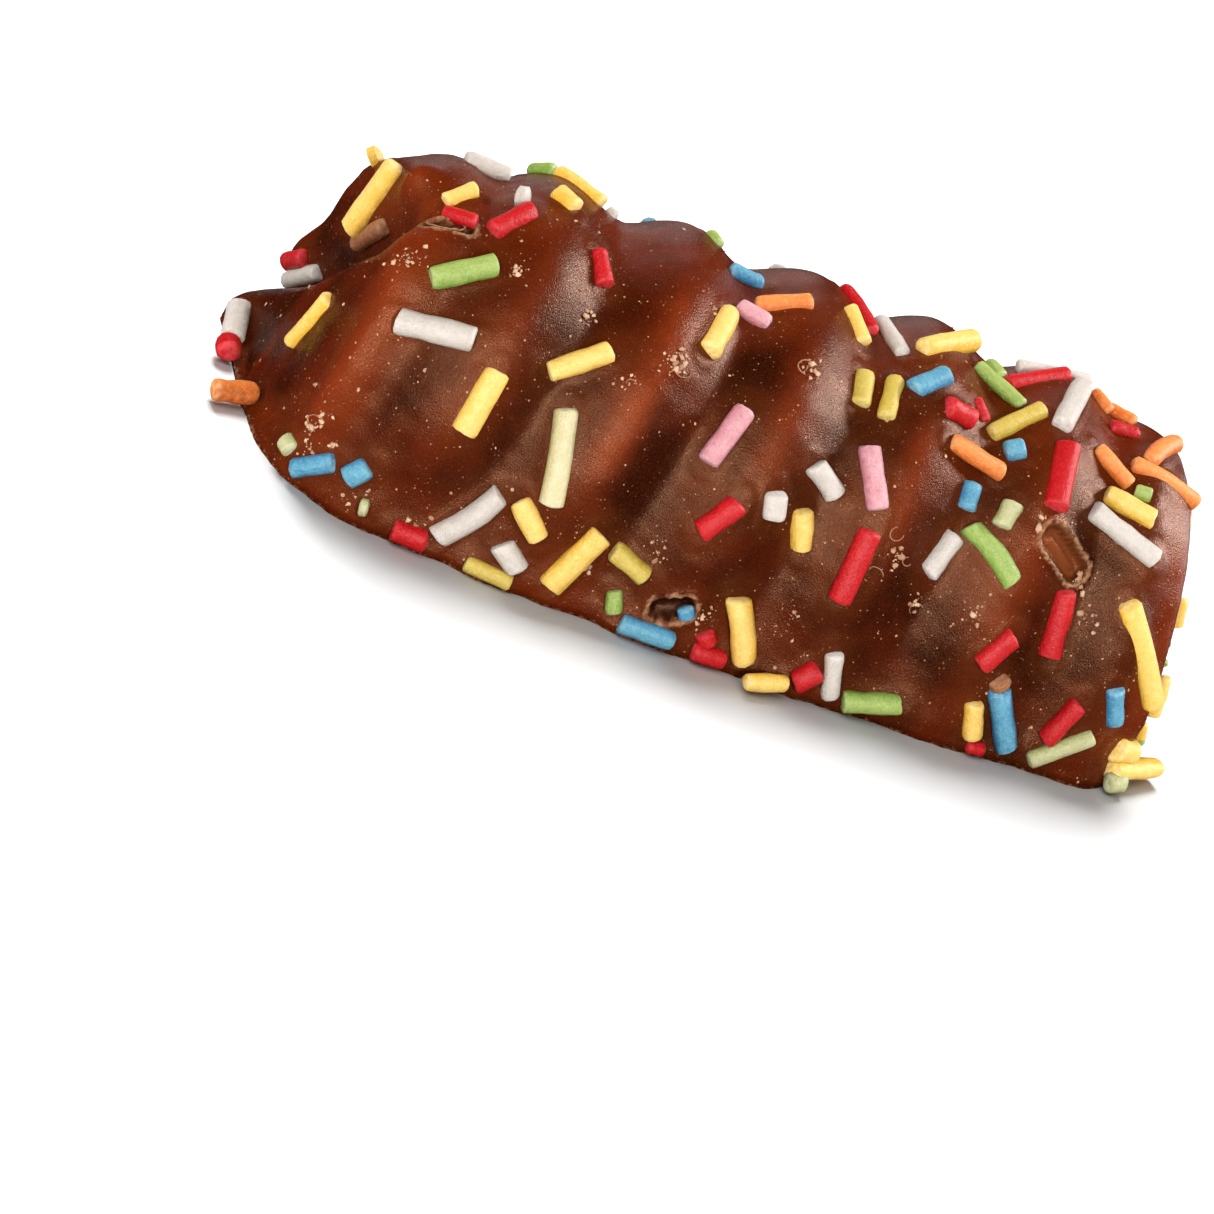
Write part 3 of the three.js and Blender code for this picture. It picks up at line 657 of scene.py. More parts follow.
# %% Rings of a rod
SIDES = 12
RING_GAPS = (0.03, 0.11, 0.40)      # mm from an end
RING_SHARES = (0.34, 0.5, 0.66)
RING_WIDTHS = np.array([0.72, 0.93, 1.0, 1.0, 1.0, 1.0, 1.0, 0.93, 0.72])
LARGEST_GAP = 0.2                   # of a short strand's length
ROD_WIDTH, MEAN_WIDTH = 0.96, 0.97  # of the solid's half width, and of the rod's own
TWO_SIDED, THREE_SIDED, LONG_WAVE, SHORT_WAVE = 0.05, 0.045, 0.06, 0.02     # lumps, of the half width
LONG_TURN, SHORT_TURN = 2.6, 6.3    # how far the waves turn in a mm, in radians
THETA = np.linspace(0, 2 * np.pi, SIDES, endpoint=False)


def frames(entries):
    """Start, end, half width, length and three directions of each strand: along it, sideways and up."""
    start, end, half, up = (np.array(column) for column in zip(*[strand_axis(entry) for entry in entries]))
    length = np.linalg.norm(end - start, axis=1)
    axis = (end - start) / length[:, None]
    side = np.cross(up, axis)
    side /= np.linalg.norm(side, axis=1, keepdims=True)
    return start, end, half, length, axis, side, np.cross(axis, side)


def ring_shares(length):
    """Where the rings stand, as shares of each strand's length: three near each end and three between."""
    gaps = np.minimum(np.array(RING_GAPS)[None, :], length[:, None] * LARGEST_GAP) / length[:, None]
    return np.concatenate([gaps, np.tile(RING_SHARES, (len(length), 1)), 1 - gaps[:, ::-1]], axis=1)


def rod_radius(half, length, shares, phase):
    """Half width times the ring's width times MEAN_WIDTH plus waves: cosines of two and three turns round
    the rod, and sines of the distance walked along it."""
    share = shares[:, :, None]
    walk = length[:, None, None] * share
    wave = TWO_SIDED * np.cos(2 * THETA + phase[0]) + THREE_SIDED * np.cos(3 * THETA + phase[1] + 2 * share)
    wave = wave + LONG_WAVE * np.sin(walk * LONG_TURN + phase[2])
    wave = wave + SHORT_WAVE * np.sin(walk * SHORT_TURN + 2 * THETA + phase[3])
    most = half[:, None, None] * ROD_WIDTH
    return np.minimum(most * RING_WIDTHS[None, :, None] * (MEAN_WIDTH + wave), most)


print("rings on each rod:", len(RING_WIDTHS))

# %% [markdown]
# ## Bends and rough ends
# A few strands are bent, and a long one over a ridge lies on it like a bridge instead of sinking in. An
# armature could bend them, but a bow of 4 s (1 - s) from end to end is enough. The broken ends slant, and
# no two points of their edge lie at the same depth.

# %% Points of the rods
BENT = {(-18.5, 2.5): -0.28, (12.5, 43): 0.3, (-0.3, 10.5): 0.12, (27, 93): -0.2, (1, 44): 0.1,
        (-15.3, 36): 0.12, (24.2, 37.5): 0.15, (-35.8, 47): -0.12, (3, 109): 0.2}   # mm, by the first end
SEAT = 0.3                          # of the half width: how deep the middle of an axis may lie in the coat
MOST_RISE = 0.7
MOST_SLANT, END_ROUGHNESS = 0.15, 0.06


def spines(entries, shares):
    """Axis point plus the bow 4 s (1 - s): sideways by the strand's bend, upwards where the coat bulges."""
    start, end, half, length, axis, side, top = frames(entries)
    table = np.array([entry[:4] for entry in entries], float)
    over = coat((table[:, 0] + table[:, 2]) / 2, (table[:, 1] + table[:, 3]) / 2)
    sunk = np.sum((over - (start + end) / 2) * top, axis=1)
    rise = np.clip(sunk - SEAT * half, 0, MOST_RISE)
    bend = np.array([BENT.get(entry[:2], 0.0) for entry in entries])
    bow = (4 * shares * (1 - shares))[..., None]
    straight = start[:, None] + axis[:, None] * (shares * length[:, None])[..., None]
    return straight + (side * bend[:, None])[:, None] * bow + (top * rise[:, None])[:, None] * bow


def rods(entries, seed):
    """Points of many rods: spine + side * cos * radius + top * sin * radius, with the two outer rings of
    each end pushed inwards unevenly, and one more point in the middle of each end."""
    start, end, half, length, axis, side, top = frames(entries)
    count = len(entries)
    source = np.random.default_rng(seed)
    phase = source.uniform(0, 2 * np.pi, (5, count, 1, 1))
    shares = ring_shares(length)
    radius = rod_radius(half, length, shares, phase)
    points = (spines(entries, shares)[:, :, None] + side[:, None, None] * (radius * np.cos(THETA))[..., None]
              + top[:, None, None] * (radius * np.sin(THETA))[..., None])
    slant = half[:, None] * source.uniform(0.0, MOST_SLANT, (2, count, 1))
    slant = slant * (1 + np.cos(THETA + phase[3:, :, 0]))
    inwards = np.zeros((count, len(RING_WIDTHS), SIDES))
    inwards[:, :2] = (slant[0] + source.uniform(0, END_ROUGHNESS, (count, SIDES)))[:, None]
    inwards[:, -2:] = -(slant[1] + source.uniform(0, END_ROUGHNESS, (count, SIDES)))[:, None]
    short = np.minimum(1, length / 2)[:, None]
    points += axis[:, None, None] * (inwards * short[..., None])[..., None]
    dent = source.uniform(0.0, END_ROUGHNESS, (count, 2)) + slant.mean(axis=2).T * short
    caps = np.stack([start + axis * dent[:, :1], end - axis * dent[:, 1:]], axis=1)
    return np.concatenate([points.reshape(count, -1, 3), caps], axis=1), source.uniform(0, 1, count)


print("bent strands:", len(BENT))

# %% [markdown]
# ## One piece for each colour
# All strands of a colour are one mesh, so they share a material. Their marks tell it which end, which side
# and which strand a point belongs to, since a pattern of Object coordinates alone can't know that.

# %% Strand pieces
def repeated(faces, count, size):
    """The same faces for each of many equal shapes, whose points follow each other in blocks."""
    return (faces[None] + np.arange(count)[:, None, None] * size).reshape(-1, faces.shape[1]).tolist()


def tube_faces(rings, sides, count, turned=False):
    """Four corners between neighbouring rings and a fan at each end; turned gives the other winding."""
    ring = np.arange(rings - 1)[:, None] * sides
    k = np.arange(sides)
    after = (k + 1) % sides
    quads = np.stack([ring + k, ring + after, ring + sides + after, ring + sides + k], axis=-1).reshape(-1, 4)
    tip = np.full(sides, rings * sides)
    last = (rings - 1) * sides
    fans = np.concatenate([np.stack([tip, after, k], axis=-1),
                           np.stack([tip + 1, last + k, last + after], axis=-1)])
    if turned:
        quads, fans = (np.roll(faces[:, ::-1], 1, axis=1) for faces in (quads, fans))
    size = rings * sides + 2
    return repeated(quads, count, size) + repeated(fans, count, size)


SEATED, PAINTED_LIGHT_HEIGHTS = (-0.5, 0.05), (0.1, 0.95)     # heights over the axis, in half widths: where a strand is seated, and where light is painted on its top
SECOND_RING = 0.5


def rod_marks(entries, points, tints):
    """A tint for each rod, 1 at its ends, and two marks that follow the height over its axis in half
    widths: 1 low down where it is seated, and 1 on top, where light is painted."""
    start, _, half, *_, top = frames(entries)
    tip = np.zeros((len(RING_WIDTHS), SIDES))
    tip[[0, -1]] = 1
    tip[[1, -2]] = SECOND_RING
    above = np.einsum("nij,nj->ni", points - start[:, None], top) / half[:, None]
    return {"tint": np.repeat(tints, points.shape[1]), "tip": np.tile([*tip.ravel(), 1, 1], len(entries)),
            "low": 1 - smooth(above, *SEATED), "top": smooth(above, *PAINTED_LIGHT_HEIGHTS)}


FIRST_STRAND_SEED = 100
strand_pieces = {}
for number, colour in enumerate(SEEN_STRANDS):
    entries = [entry for name, entry in strands if name == colour]
    points, tints = rods(entries, FIRST_STRAND_SEED + number)
    piece = new_piece("strands_" + colour, points.reshape(-1, 3),
                      tube_faces(len(RING_WIDTHS), SIDES, len(entries)), rod_marks(entries, points, tints))
    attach(piece, "root")
    strand_pieces[colour] = piece
    print(piece.name, len(entries), "strands")

# %% [markdown]
# ## Where the crumbs lie
# Where the coat cracked it shed crumbs. They lie in clusters at the cracks and singly everywhere else, so
# a table names the clusters, and a seeded generator deals out the rest. Particles could scatter them too,
# but would need a density painted for the clusters.

# %% Crumb places
CLUSTERS = [  # along, around, a quarter of the number of crumbs, and how far they spread in mm
    (-21.5, 61.5, 5, 0.5), (-9.7, 54.5, 14, 1.1), (-0.7, 66.5, 9, 0.8), (-27.8, 57, 9, 0.9),
    (-28.3, 10.5, 5, 0.6), (-27.9, 14, 3, 0.4), (-12.4, 46, 3, 0.5), (17.0, 49.5, 3, 0.5),
    (21.2, 38.0, 6, 0.5), (-1.5, 5.5, 9, 0.8), (-26.6, 8.5, 3, 0.3), (10.8, 22, 4, 0.5),
    (-23.8, 4, 5, 0.6), (8.2, 31, 5, 0.7), (17.5, 11, 4, 0.5), (-29.8, 20, 1, 0.1),
    (-24.3, 30.7, 1, 0.1), (-7.7, 74, 3, 0.5), (22.5, 30, 4, 0.8), (26.5, 24, 5, 0.8),
    (14.4, 25, 5, 0.9), (-16, 60, 3, 0.9), (3.5, 12, 4, 0.9), (-27.8, 5.5, 6, 0.8),
    (-19.5, 4.5, 5, 0.9), (-9.8, 8.0, 7, 0.8), (-6.2, 14.0, 5, 0.8)]
CLUSTER_CRUMBS, DEGREES_PER_MM = 4, 4.5
LEAST_CRUMB, MORE_CRUMB = 0.05, 0.22
LOOSE_CRUMBS = 130
LOOSE_FROM, LOOSE_TO = [-36, 3, 0.06], [36, 177, 0.15]     # along, around and size
CRUMB_SEED = 21


def crumb_places():
    """Along, around and size of each crumb: clusters first, then loose ones over the whole coat."""
    source = np.random.default_rng(CRUMB_SEED)
    rows = []
    for along, around, quarter, spread in CLUSTERS:
        count = CLUSTER_CRUMBS * quarter
        step = source.normal(0, 0.5 * spread, (count, 2))
        size = LEAST_CRUMB + MORE_CRUMB * source.uniform(0, 1, count) ** 3
        rows.append(np.column_stack([along + step[:, 0], around + step[:, 1] * DEGREES_PER_MM, size]))
    rows.append(source.uniform(LOOSE_FROM, LOOSE_TO, (LOOSE_CRUMBS, 3)))
    return np.concatenate(rows), source


crumb_table, crumb_source = crumb_places()
print("crumbs:", len(crumb_table))

# %% [markdown]
# ## The form of a crumb
# Crumbs are tiny, but they catch the light. A few hundred rocks from an add-on would be heavy. Each one
# here is a ball of a few faces, pressed flat and made uneven, and turned at random on the coat.

# %% Crumb piece
CRUMB_RINGS, CRUMB_SIDES = 3, 6
CRUMB_UNEVEN = (-0.55, 0.3)
CRUMB_LEAST, CRUMB_MOST = [0.7, 0.6, 0.3], [1.25, 1.0, 0.55]   # stretch sideways, sideways and up
CRUMB_LIFT, CRUMB_LIFT_SHARE = 0.03, 0.12
FIRST_WAY, SECOND_WAY = [1, 0, 0.2], [0, 1, 0.3]               # never straight up, so each crumb has a side


def unit_ball():
    """Points of a ball of radius 1: rings of equal steps from pole to pole, then the two poles."""
    polar = np.linspace(0, np.pi, CRUMB_RINGS + 2)[1:-1, None]
    theta = np.linspace(0, 2 * np.pi, CRUMB_SIDES, endpoint=False)
    ball = np.stack([np.sin(polar) * np.cos(theta), np.sin(polar) * np.sin(theta),
                     np.cos(polar) * np.ones_like(theta)], axis=-1)
    return np.concatenate([ball.reshape(-1, 3), [[0, 0, 1], [0, 0, -1]]])


def crumbs(table, source):
    """Points of the crumbs: an uneven ball, pressed flat, turned and laid on the coat."""
    along, around, size = table.T
    around = np.clip(around, FOOT_MARGIN, 180 - FOOT_MARGIN)
    up = outward(along, around)
    turn = source.uniform(0, 2 * np.pi, len(table))[:, None]
    side = np.cross(up, np.cos(turn) * FIRST_WAY + np.sin(turn) * SECOND_WAY)
    side /= np.linalg.norm(side, axis=1, keepdims=True)
    ball = unit_ball()
    shape = ball[None] * (1 + source.uniform(*CRUMB_UNEVEN, (len(table), len(ball), 1)))
    stretch = source.uniform(CRUMB_LEAST, CRUMB_MOST, (len(table), 3))
    size = size[:, None, None]
    shape = shape * stretch[:, None] * size
    points = (coat(along, around)[:, None] + side[:, None] * shape[..., :1]
              + np.cross(up, side)[:, None] * shape[..., 1:2]
              + up[:, None] * (shape[..., 2:] + CRUMB_LIFT_SHARE * size + CRUMB_LIFT))
    points[..., 2] = np.maximum(points[..., 2], LEAST_HEIGHT)
    return points, source.uniform(0, 1, len(table))


crumb_points, crumb_tints = crumbs(crumb_table, crumb_source)
crumb_piece = new_piece("crumbs", crumb_points.reshape(-1, 3),
                        tube_faces(CRUMB_RINGS, CRUMB_SIDES, len(crumb_points), turned=True),
                        {"tint": np.repeat(crumb_tints, crumb_points.shape[1])})
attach(crumb_piece, "root")
print("crumb faces:", len(crumb_piece.data.polygons))

# %% [markdown]
# ## Curled rims
# Where a bubble burst or a strand was torn out, the thin coat stands up in a curl. A curve with a bevel
# would float over the uneven coat. A curl here is a thin wall along part of an ellipse, laid out in along
# and around, so it follows the coat, and it sinks to nothing at both ends.

# %% Curl points
CURLS = [  # along, around, long and short radius, turn, first angle and sweep in degrees, height
    (7.1, 25.6, 0.7, 0.5, 0, 10, 240, 0.07), (7.7, 35.4, 0.5, 0.4, 30, 80, 250, 0.08),
    (-1.0, 65.7, 0.7, 0.5, 0, 60, 200, 0.14), (-26.6, 72.9, 1.1, 0.5, -12, 150, 240, 0.28),
    (-12.2, 45.8, 0.3, 0.2, 0, 0, 220, 0.1), (11.2, 20.8, 0.5, 0.35, 0, 40, 200, 0.14),
    (9.1, 30.4, 0.35, 0.25, 0, 90, 250, 0.12), (-28.2, 12.5, 0.5, 0.35, 20, 0, 240, 0.15),
    (-9.2, 53.5, 0.6, 0.4, 10, 200, 180, 0.2)]
CURL_STEPS = 24
CURL_THICKNESS, CURL_FOOT_THICKNESS, CURL_FOOT_DEPTH = 0.05, 0.075, 0.15
CURL_LEAN, CURL_RAGGED = 0.35, (0.3, 1.0)
CURL_SEED = 33


def curls():
    """Points of the curls: at each step of the ellipse, two feet under the coat and two top edges."""
    table = np.array(CURLS, float)[:, :, None]
    along, around, long_radius, short_radius, turn, first, sweep, height = (table[:, k] for k in range(8))
    share = np.linspace(0, 1, CURL_STEPS + 1)[None, :]
    theta = np.radians(first + sweep * share)
    tilt = np.radians(turn)
    x = long_radius * np.cos(theta) * np.cos(tilt) - short_radius * np.sin(theta) * np.sin(tilt)
    y = long_radius * np.cos(theta) * np.sin(tilt) + short_radius * np.sin(theta) * np.cos(tilt)
    degree = np.linalg.norm(coat(along, around + 1) - coat(along, around - 1), axis=-1) / 2
    foot = coat(along + x, np.clip(around + y / degree, 1, 179))    # off the floor
    up = outward(along + x, around + y / degree)
    away = foot - coat(along, around)
    away /= np.linalg.norm(away, axis=-1, keepdims=True)
    source = np.random.default_rng(CURL_SEED)
    ragged = source.uniform(*CURL_RAGGED, share.shape[1]) * np.sin(np.pi * share) ** 0.5
    tall = (height * ragged)[..., None]
    edge = foot + up * tall + away * CURL_LEAN * tall
    low = foot - up * CURL_FOOT_DEPTH
    thin, thick = away * CURL_THICKNESS / 2, away * CURL_FOOT_THICKNESS / 2
    return np.stack([low - thick, low + thick, edge + thin, edge - thin], axis=2)


curl_points = curls()
curl_points[..., 2] = np.maximum(curl_points[..., 2], LEAST_HEIGHT)
print("curls:", len(curl_points))

# %% [markdown]
# ## The wall of a curl
# Four points at every step make a wall with two sides, a top and a foot. Solidify would need a face to
# start from, so the four sides are written out, and the two ends are closed.

# %% Curl piece
def strip_faces(count, steps):
    """Four sides between neighbouring steps of every curl, and a four-cornered face at each end."""
    k = np.arange(4)
    after = (k + 1) % 4
    step = np.arange(steps)[:, None] * 4
    sides = np.stack([step + k, step + after, step + 4 + after, step + 4 + k], axis=-1).reshape(-1, 4)
    last = steps * 4
    caps = np.array([[3, 2, 1, 0], [last, last + 1, last + 2, last + 3]])
    return repeated(np.concatenate([sides, caps]), count, last + 4)


curl_piece = new_piece("curled_rims", curl_points.reshape(-1, 3), strip_faces(len(CURLS), CURL_STEPS),
                       {"tint": np.tile([0.0, 0.0, 1.0, 1.0], len(CURLS) * (CURL_STEPS + 1))})
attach(curl_piece, "root")
print("curl faces:", len(curl_piece.data.polygons))

# %% [markdown]
# ## Node helpers
# Materials are node graphs. They could be wired by hand in the editor, but these helpers add a node, link it
# and set its values in one line, so that each material below reads as a short recipe. All patterns use
# object coordinates in metres.

# %% Helpers for materials
class Recipe:
    """A material whose nodes are added one after another and end in a Principled shader."""

    def __init__(self, name):
        self.material = bpy.data.materials.new(name)
        self.material.use_nodes = True
        self.tree = self.material.node_tree
        self.shader = self.tree.nodes["Principled BSDF"]
        self.place = self.tree.nodes.new("ShaderNodeTexCoord").outputs["Object"]

    def put(self, value, socket):
        """Links an output to a socket, or sets the socket to a plain value."""
        if isinstance(value, bpy.types.NodeSocket):
            self.tree.links.new(value, socket)
        else:
            socket.default_value = value

    def mark(self, name):
        """The number that the mesh carries under this name."""
        node = self.tree.nodes.new("ShaderNodeAttribute")
        node.attribute_name = name
        return node.outputs["Fac"]

    def noise(self, size_mm, detail=2.0, roughness=0.5):
        """Cloudy noise with features of about this size."""
        node = self.tree.nodes.new("ShaderNodeTexNoise")
        self.put(self.place, node.inputs["Vector"])
        node.inputs["Scale"].default_value = 1 / (size_mm * MM)
        node.inputs["Detail"].default_value = detail
        node.inputs["Roughness"].default_value = roughness
        return node.outputs["Fac"]

    def cells(self, size_mm):
        """Distance to the nearest point of a random scatter of this spacing, and a colour for each."""
        node = self.tree.nodes.new("ShaderNodeTexVoronoi")
        self.put(self.place, node.inputs["Vector"])
        node.inputs["Scale"].default_value = 1 / (size_mm * MM)
        return node.outputs["Distance"], node.outputs["Color"]

    def math(self, kind, first, second=0.0):
        """One sum of two numbers: MULTIPLY, ADD, GREATER_THAN and so on."""
        node = self.tree.nodes.new("ShaderNodeMath")
        node.operation = kind
        self.put(first, node.inputs[0])
        self.put(second, node.inputs[1])
        return node.outputs[0]

    def times(self, first, second):
        """The product of two numbers."""
        return self.math("MULTIPLY", first, second)

    def span(self, value, low, high, first=0.0, second=1.0):
        """Maps low to first and high to second, held at both ends."""
        node = self.tree.nodes.new("ShaderNodeMapRange")
        self.put(value, node.inputs["Value"])
        node.inputs["From Min"].default_value = low
        node.inputs["From Max"].default_value = high
        node.inputs["To Min"].default_value = first
        node.inputs["To Max"].default_value = second
        return node.outputs["Result"]

    def mix(self, share, first, second):
        """Two colours mixed: share 0 gives the first and 1 the second."""
        node = self.tree.nodes.new("ShaderNodeMix")
        node.data_type = "RGBA"
        self.put(share, node.inputs[0])
        for value, socket in ((first, node.inputs[6]), (second, node.inputs[7])):
            self.put(value if isinstance(value, bpy.types.NodeSocket) else (*value, 1.0), socket)
        return node.outputs[2]

    def bump(self, height, depth_mm, under=None):
        """A bumped normal: the height's full range stands for this depth."""
        node = self.tree.nodes.new("ShaderNodeBump")
        node.inputs["Distance"].default_value = depth_mm * MM
        self.put(height, node.inputs["Height"])
        if under is not None:
            self.put(under, node.inputs["Normal"])
        return node.outputs["Normal"]

    def finish(self, **sockets):
        """Sets or links the shader's own sockets, named as Blender names them."""
        for name, value in sockets.items():
            socket = self.shader.inputs[name.replace("_", " ")]
            if isinstance(value, tuple) and len(value) == 3 and socket.type == "RGBA":
                value = (*value, 1.0)
            self.put(value, socket)
        return self.material


print("recipe helpers ready")

# %% [markdown]
# ## Milk chocolate: its tones
# The coat is dark where it is thick and reddish where it is thin over a crest. One brown with noise would
# look painted on, so the marks of the form choose the tone, and noise only breaks up their edges. Light is
# painted in too: the top, the ends and the foot are lighter, and a glow lies beside every strand.

# %% Tones of the coat
DARK = (0.023, 0.0025, 0.0004)
BROWN = (0.106, 0.0100, 0.0008)
THIN = (0.170, 0.020, 0.0026)
PAINTED_STRAND_GLOW = (0.12, 0.025, 0.0040)        # painted glow beside a strand: light thrown off it, painted into the coat
PAINTED_STRAND_GLOW_STRENGTH = 0.25

chocolate = Recipe("milk_chocolate")
drift = chocolate.span(chocolate.noise(4.5), 0.38, 0.66, -0.10, 0.45)
# lighter where the coat is medium thick, and where light is painted on the top, the foot and the ends
tone = chocolate.mix(chocolate.math("ADD", chocolate.mark("warm_and_painted_light"), drift), DARK, BROWN)
patches = chocolate.span(chocolate.noise(1.6), 0.3, 0.6, 0.6, 1.0)
tone = chocolate.mix(chocolate.times(chocolate.mark("thin"), patches), tone, THIN)
# painted glow beside every strand
tone = chocolate.mix(chocolate.times(chocolate.mark("closeness"), PAINTED_STRAND_GLOW_STRENGTH), tone, PAINTED_STRAND_GLOW)
print("tones of the coat:", len(chocolate.tree.nodes), "nodes")

# %% [markdown]
# ## Dust and broken coat
# Pale sugar dust lies everywhere, and broken coat shows a dry, paler inside. Dust modelled grain by grain
# would be thousands of meshes, so the points of a random scatter are drawn as specks, larger where a
# point's own number is high. The rims, beds and the frayed foot take their tones from the marks, and
# shade is painted into the gaps and the dark insides of the beds.

# %% Dust, rims and beds
PALE = (0.50, 0.28, 0.15)
DUSTY = (0.19, 0.062, 0.020)
TORN = (0.34, 0.17, 0.085)
BED_BOTTOM, BED_STRENGTH = (0.24, 0.060, 0.016), 0.8
# near black, painted as shade into the beds' gaps and dark insides
PAINTED_HOLLOW_SHADE, PAINTED_HOLLOW_SHADE_STRENGTH = (0.012, 0.0035, 0.0015), 0.85
FRAYED = (0.30, 0.14, 0.07)
SPECKS = [(0.26, 0.25, 0.50), (0.45, 0.19, 0.85), (1.7, 0.09, 0.95)]    # spacing, largest radius, strength

for spacing, radius, strength in SPECKS:
    distance, number = chocolate.cells(spacing)
    specks = chocolate.math("LESS_THAN", distance, chocolate.span(number, 0.45, 1.0, 0.0, radius))
    tone = chocolate.mix(chocolate.times(specks, strength), tone, PALE)
tone = chocolate.mix(chocolate.span(chocolate.noise(0.085, 2.0, 0.7), 0.56, 0.70, 0.0, 0.35), tone, DUSTY)
torn = chocolate.span(chocolate.times(chocolate.mark("rim"), chocolate.noise(0.35, 3.0)), 0.12, 0.34)
tone = chocolate.mix(torn, tone, TORN)
tone = chocolate.mix(chocolate.times(chocolate.mark("bed"), BED_STRENGTH), tone, BED_BOTTOM)
# painted shade in the beds
tone = chocolate.mix(chocolate.times(chocolate.mark("painted_bed_shade"), PAINTED_HOLLOW_SHADE_STRENGTH), tone, PAINTED_HOLLOW_SHADE)
frayed = chocolate.span(chocolate.times(chocolate.mark("foot"), chocolate.noise(0.25, 4.0)), 0.42, 0.62)
tone = chocolate.mix(frayed, tone, FRAYED)
print("with dust and broken coat:", len(chocolate.tree.nodes), "nodes")

# %% [markdown]
# ## The skin of the coat
# Milk chocolate is satin, not glossy: a fine grain breaks every highlight into a soft glow. A clear coat
# would look wet, so roughness and two very small bumps do the work. The shader's own reflection gets a warm
# tint, and so the highlights are warm too.

# %% Skin of the coat
grain = chocolate.noise(0.09, 2.0, 0.6)
skin = chocolate.bump(chocolate.noise(1.2), 0.03)
skin = chocolate.bump(grain, 0.034, skin)
chocolate.finish(Base_Color=tone, Roughness=chocolate.span(grain, 0.3, 0.7, 0.24, 0.33), Normal=skin,
                 Specular_IOR_Level=0.52, Specular_Tint=(1.0, 0.50, 0.28))
coat_piece.data.materials.append(chocolate.material)
print("with its skin:", len(chocolate.tree.nodes), "nodes")

# %% [markdown]
# ## Pressed sugar
# Sugar strands are matte, and let a little light in, which softens their shadows. A painted image for each
# colour would repeat the same work eleven times, so one recipe takes the two shades of a colour. A fine
# grain covers the strands, their broken ends are paler, and chocolate has crept up their lower edges.
# Light is painted on their tops, which are made lighter.

# %% Sugar
SUGAR = {  # a deep and a light shade of each colour
    "yellow": ((0.70, 0.38, 0.02), (0.78, 0.53, 0.15)),
    "pale_yellow": ((0.49, 0.40, 0.12), (0.60, 0.53, 0.32)),
    "olive": ((0.45, 0.29, 0.02), (0.56, 0.42, 0.09)),
    "white": ((0.44, 0.385, 0.33), (0.56, 0.50, 0.445)),
    "pale_green": ((0.32, 0.34, 0.12), (0.465, 0.44, 0.235)),
    "green": ((0.17, 0.29, 0.035), (0.33, 0.41, 0.11)),
    "blue": ((0.010, 0.14, 0.30), (0.12, 0.33, 0.43)),
    "red": ((0.37, 0.0012, 0.003), (0.48, 0.007, 0.009)),
    "orange": ((0.60, 0.115, 0.011), (0.74, 0.255, 0.058)),
    "pink": ((0.47, 0.15, 0.18), (0.62, 0.32, 0.34)),
    "coated": ((0.22, 0.068, 0.022), (0.31, 0.12, 0.045)),
}
CREPT_CHOCOLATE = (0.10, 0.035, 0.014)
DIRT, DIRT_STRENGTH = (0.22, 0.09, 0.04), 0.5
PALER = 0.55                        # power that pales the light shade for crust and broken ends


def sugar_tone(sugar, deep, light):
    """Clouds of the two shades with painted light on top, a pale crust and pale ends, a brown lower edge and
    dirt.
    """
    clouds_and_painted_light = sugar.math("ADD", sugar.span(sugar.noise(0.45, 3.0, 0.6), 0.35, 0.68, 0.0, 0.45),
                        sugar.span(sugar.mark("tint"), 0.0, 1.0, -0.1, 0.25))
    # painted light: the top of every strand is made lighter
    clouds_and_painted_light = sugar.math("ADD", clouds_and_painted_light, sugar.span(sugar.mark("top"), 0.0, 1.0, -0.15, 0.55))
    tone = sugar.mix(clouds_and_painted_light, deep, light)
    crust = sugar.span(sugar.noise(0.13, 3.0, 0.7), 0.50, 0.72, 0.0, 0.40)
    ends = sugar.times(sugar.mark("tip"), sugar.span(sugar.noise(0.4), 0.35, 0.6, 0.1, 0.6))
    tone = sugar.mix(sugar.math("MAXIMUM", crust, ends), tone, tuple(part ** PALER for part in light))
    creep = sugar.times(sugar.mark("low"), sugar.span(sugar.noise(0.5, 3.0), 0.35, 0.62, 0.1, 0.5))
    tone = sugar.mix(creep, tone, CREPT_CHOCOLATE)
    distance, number = sugar.cells(0.6)
    dirt = sugar.math("LESS_THAN", distance, sugar.span(number, 0.6, 1.0, 0.0, 0.12))
    return sugar.mix(sugar.times(dirt, DIRT_STRENGTH), tone, DIRT)


for colour, (deep, light) in SUGAR.items():
    sugar = Recipe("sugar_" + colour)
    skin = sugar.bump(sugar.noise(0.30, 3.0, 0.6), 0.08)
    skin = sugar.bump(sugar.noise(0.10, 2.0, 0.6), 0.035, skin)
    sugar.finish(Base_Color=sugar_tone(sugar, deep, light), Roughness=0.42, Normal=skin,
                 Specular_IOR_Level=0.35, Subsurface_Weight=0.25, Subsurface_Radius=(1.0, 0.8, 0.6),
                 Subsurface_Scale=0.0004)
    strand_pieces[colour].data.materials.append(sugar.material)
print("sugar finishes:", len(SUGAR))

# %% [markdown]
# ## Crumbs and torn coat
# Crumbs are dry bits of coat and sugar, from tan to nearly white, and the curls are dark at the foot and
# pale at their torn edge. The chocolate's own finish would hide both, so they get a quite matte one each.

# %% Crumb and curl finishes
def dry_finish(name, first, second, roughness, grain_mm):
    """A matte finish between two shades, chosen by the mark tint, with a fine bump."""
    dry = Recipe(name)
    shade = dry.mix(dry.mark("tint"), first, second)
    return dry.finish(Base_Color=shade, Roughness=roughness, Normal=dry.bump(dry.noise(grain_mm), 0.02))


crumb_piece.data.materials.append(dry_finish("dry_crumbs", (0.30, 0.13, 0.06), (0.66, 0.42, 0.26), 0.7, 0.08))
curl_piece.data.materials.append(dry_finish("torn_coat", (0.08, 0.022, 0.008), (0.34, 0.15, 0.07), 0.5, 0.1))
print("dry finishes: 2")

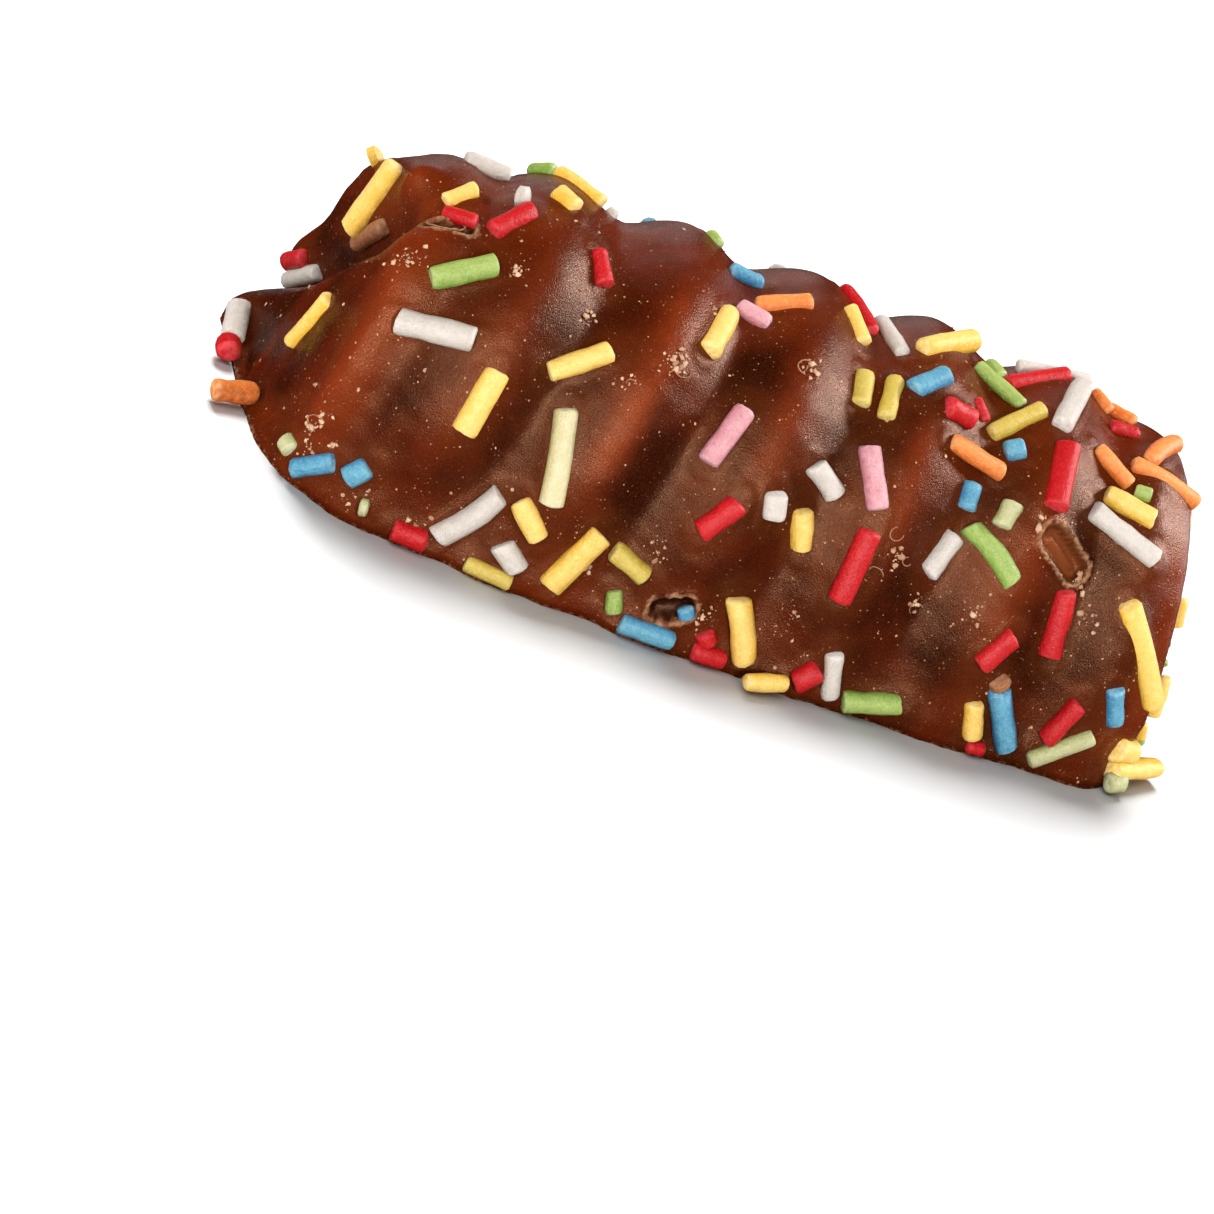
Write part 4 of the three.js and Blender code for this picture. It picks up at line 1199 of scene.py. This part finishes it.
# %% [markdown]
# ## The floor
# A sheet of white paper, a little below the foot so that the two never flicker. A curved backdrop isn't
# needed, because the camera looks down and sees only the sheet. It is hidden from glossy rays, as black
# cards would keep it from being mirrored in the dark coat.

# %% Floor
FLOOR_DROP, FLOOR_HALF = 0.00002, 3     # metres
PAPER = ((0.80, 0.80, 0.80), (0.82, 0.82, 0.82))
corners = [(-1, -1), (1, -1), (1, 1), (-1, 1)]
floor_points = [(x * FLOOR_HALF, y * FLOOR_HALF, -FLOOR_DROP) for x, y in corners]
floor_mesh = bpy.data.meshes.new("floor")
floor_mesh.from_pydata(floor_points, [], [(0, 1, 2, 3)])
floor = bpy.data.objects.new("floor", floor_mesh)
scene.collection.objects.link(floor)
paper = Recipe("floor_paper")
paper.finish(Base_Color=paper.mix(paper.noise(40.0), *PAPER), Roughness=0.8)
floor_mesh.materials.append(paper.material)
floor.visible_glossy = False
print("floor:", 2 * FLOOR_HALF, "m wide")

# %% [markdown]
# ## Softboxes
# A studio lights its white ground apart from the product, brighter than it. Lamps with a spot cone would
# spill, so light linking gives each box the group of objects that it lights. Three narrow boxes make the
# highlights on the coat, two low ones behind draw its edges, and three more are hidden from glossy rays and
# only fill the folded end, the back and the top. The last two light the paper alone.

# %% Boxes
lit_candy = bpy.data.collections.new("lit_candy")
for piece in [coat_piece, crumb_piece, curl_piece, *strand_pieces.values()]:
    lit_candy.objects.link(piece)
lit_floor = bpy.data.collections.new("lit_floor")
lit_floor.objects.link(floor)
BOX_DISTANCE = 0.80
BOXES = [  # name, degrees from +X and over the floor, width, watts, what it lights, seen in the gloss
    ("softbox_right", 13, 34, 0.20, 6.0, lit_candy, True),
    ("softbox_front", -88, 24, 0.16, 4.3, lit_candy, True),
    ("softbox_left", -127, 24, 0.16, 2.2, lit_candy, True),
    ("softbox_rim", 88, 10, 0.45, 0.4, lit_candy, True),
    ("softbox_edge", 33, 7, 0.30, 1.4, lit_candy, True),
    ("softbox_end", 178, 20, 0.30, 2.6, lit_candy, False),
    ("softbox_back", 88, 30, 0.45, 6.0, lit_candy, False),
    ("softbox_top", -115, 62, 0.40, 1.5, lit_candy, False),
    ("floor_back", 96, 56, 0.50, 14.0, lit_floor, True),
    ("floor_front", -130, 50, 0.80, 2.4, lit_floor, True)]


def softbox(name, azimuth, elevation, width, watts, receivers, in_gloss):
    """A square area light on a sphere round the bar, facing its middle, for one group of objects."""
    az, el = np.radians(azimuth), np.radians(elevation)
    way = np.array([np.cos(az) * np.cos(el), np.sin(az) * np.cos(el), np.sin(el)])
    side = np.cross([0, 0, 1], way)
    side /= np.linalg.norm(side)
    place = np.eye(4)
    place[:3, :3] = np.stack([side, np.cross(way, side), way], axis=1)
    place[:3, 3] = way * BOX_DISTANCE + [0, 0, TARGET_HEIGHT * MM]
    light = bpy.data.lights.new(name, "AREA")
    light.shape = "SQUARE"
    light.size = width
    light.energy = watts
    box = bpy.data.objects.new(name, light)
    box.matrix_world = Matrix(place.tolist())
    box.light_linking.receiver_collection = receivers
    box.visible_glossy = in_gloss
    scene.collection.objects.link(box)


for row in BOXES:
    softbox(*row)
print("boxes:", len(BOXES))

# %% [markdown]
# ## The surround
# A faint white surround fills the shadows evenly. It too is hidden from glossy rays, or its mirror image
# would lay a grey veil over the dark coat. The plain Standard view keeps the sugar's colours as strong as
# they are, where a film-like view would dull them.

# %% Surround
SURROUND_STRENGTH = 0.14
world = bpy.data.worlds.new("surround")
world.use_nodes = True
background = world.node_tree.nodes["Background"]
background.inputs["Color"].default_value = (1.0, 1.0, 1.0, 1.0)
background.inputs["Strength"].default_value = SURROUND_STRENGTH
world.cycles_visibility.glossy = False
scene.world = world
scene.view_settings.view_transform = "Standard"
print("surround:", SURROUND_STRENGTH)
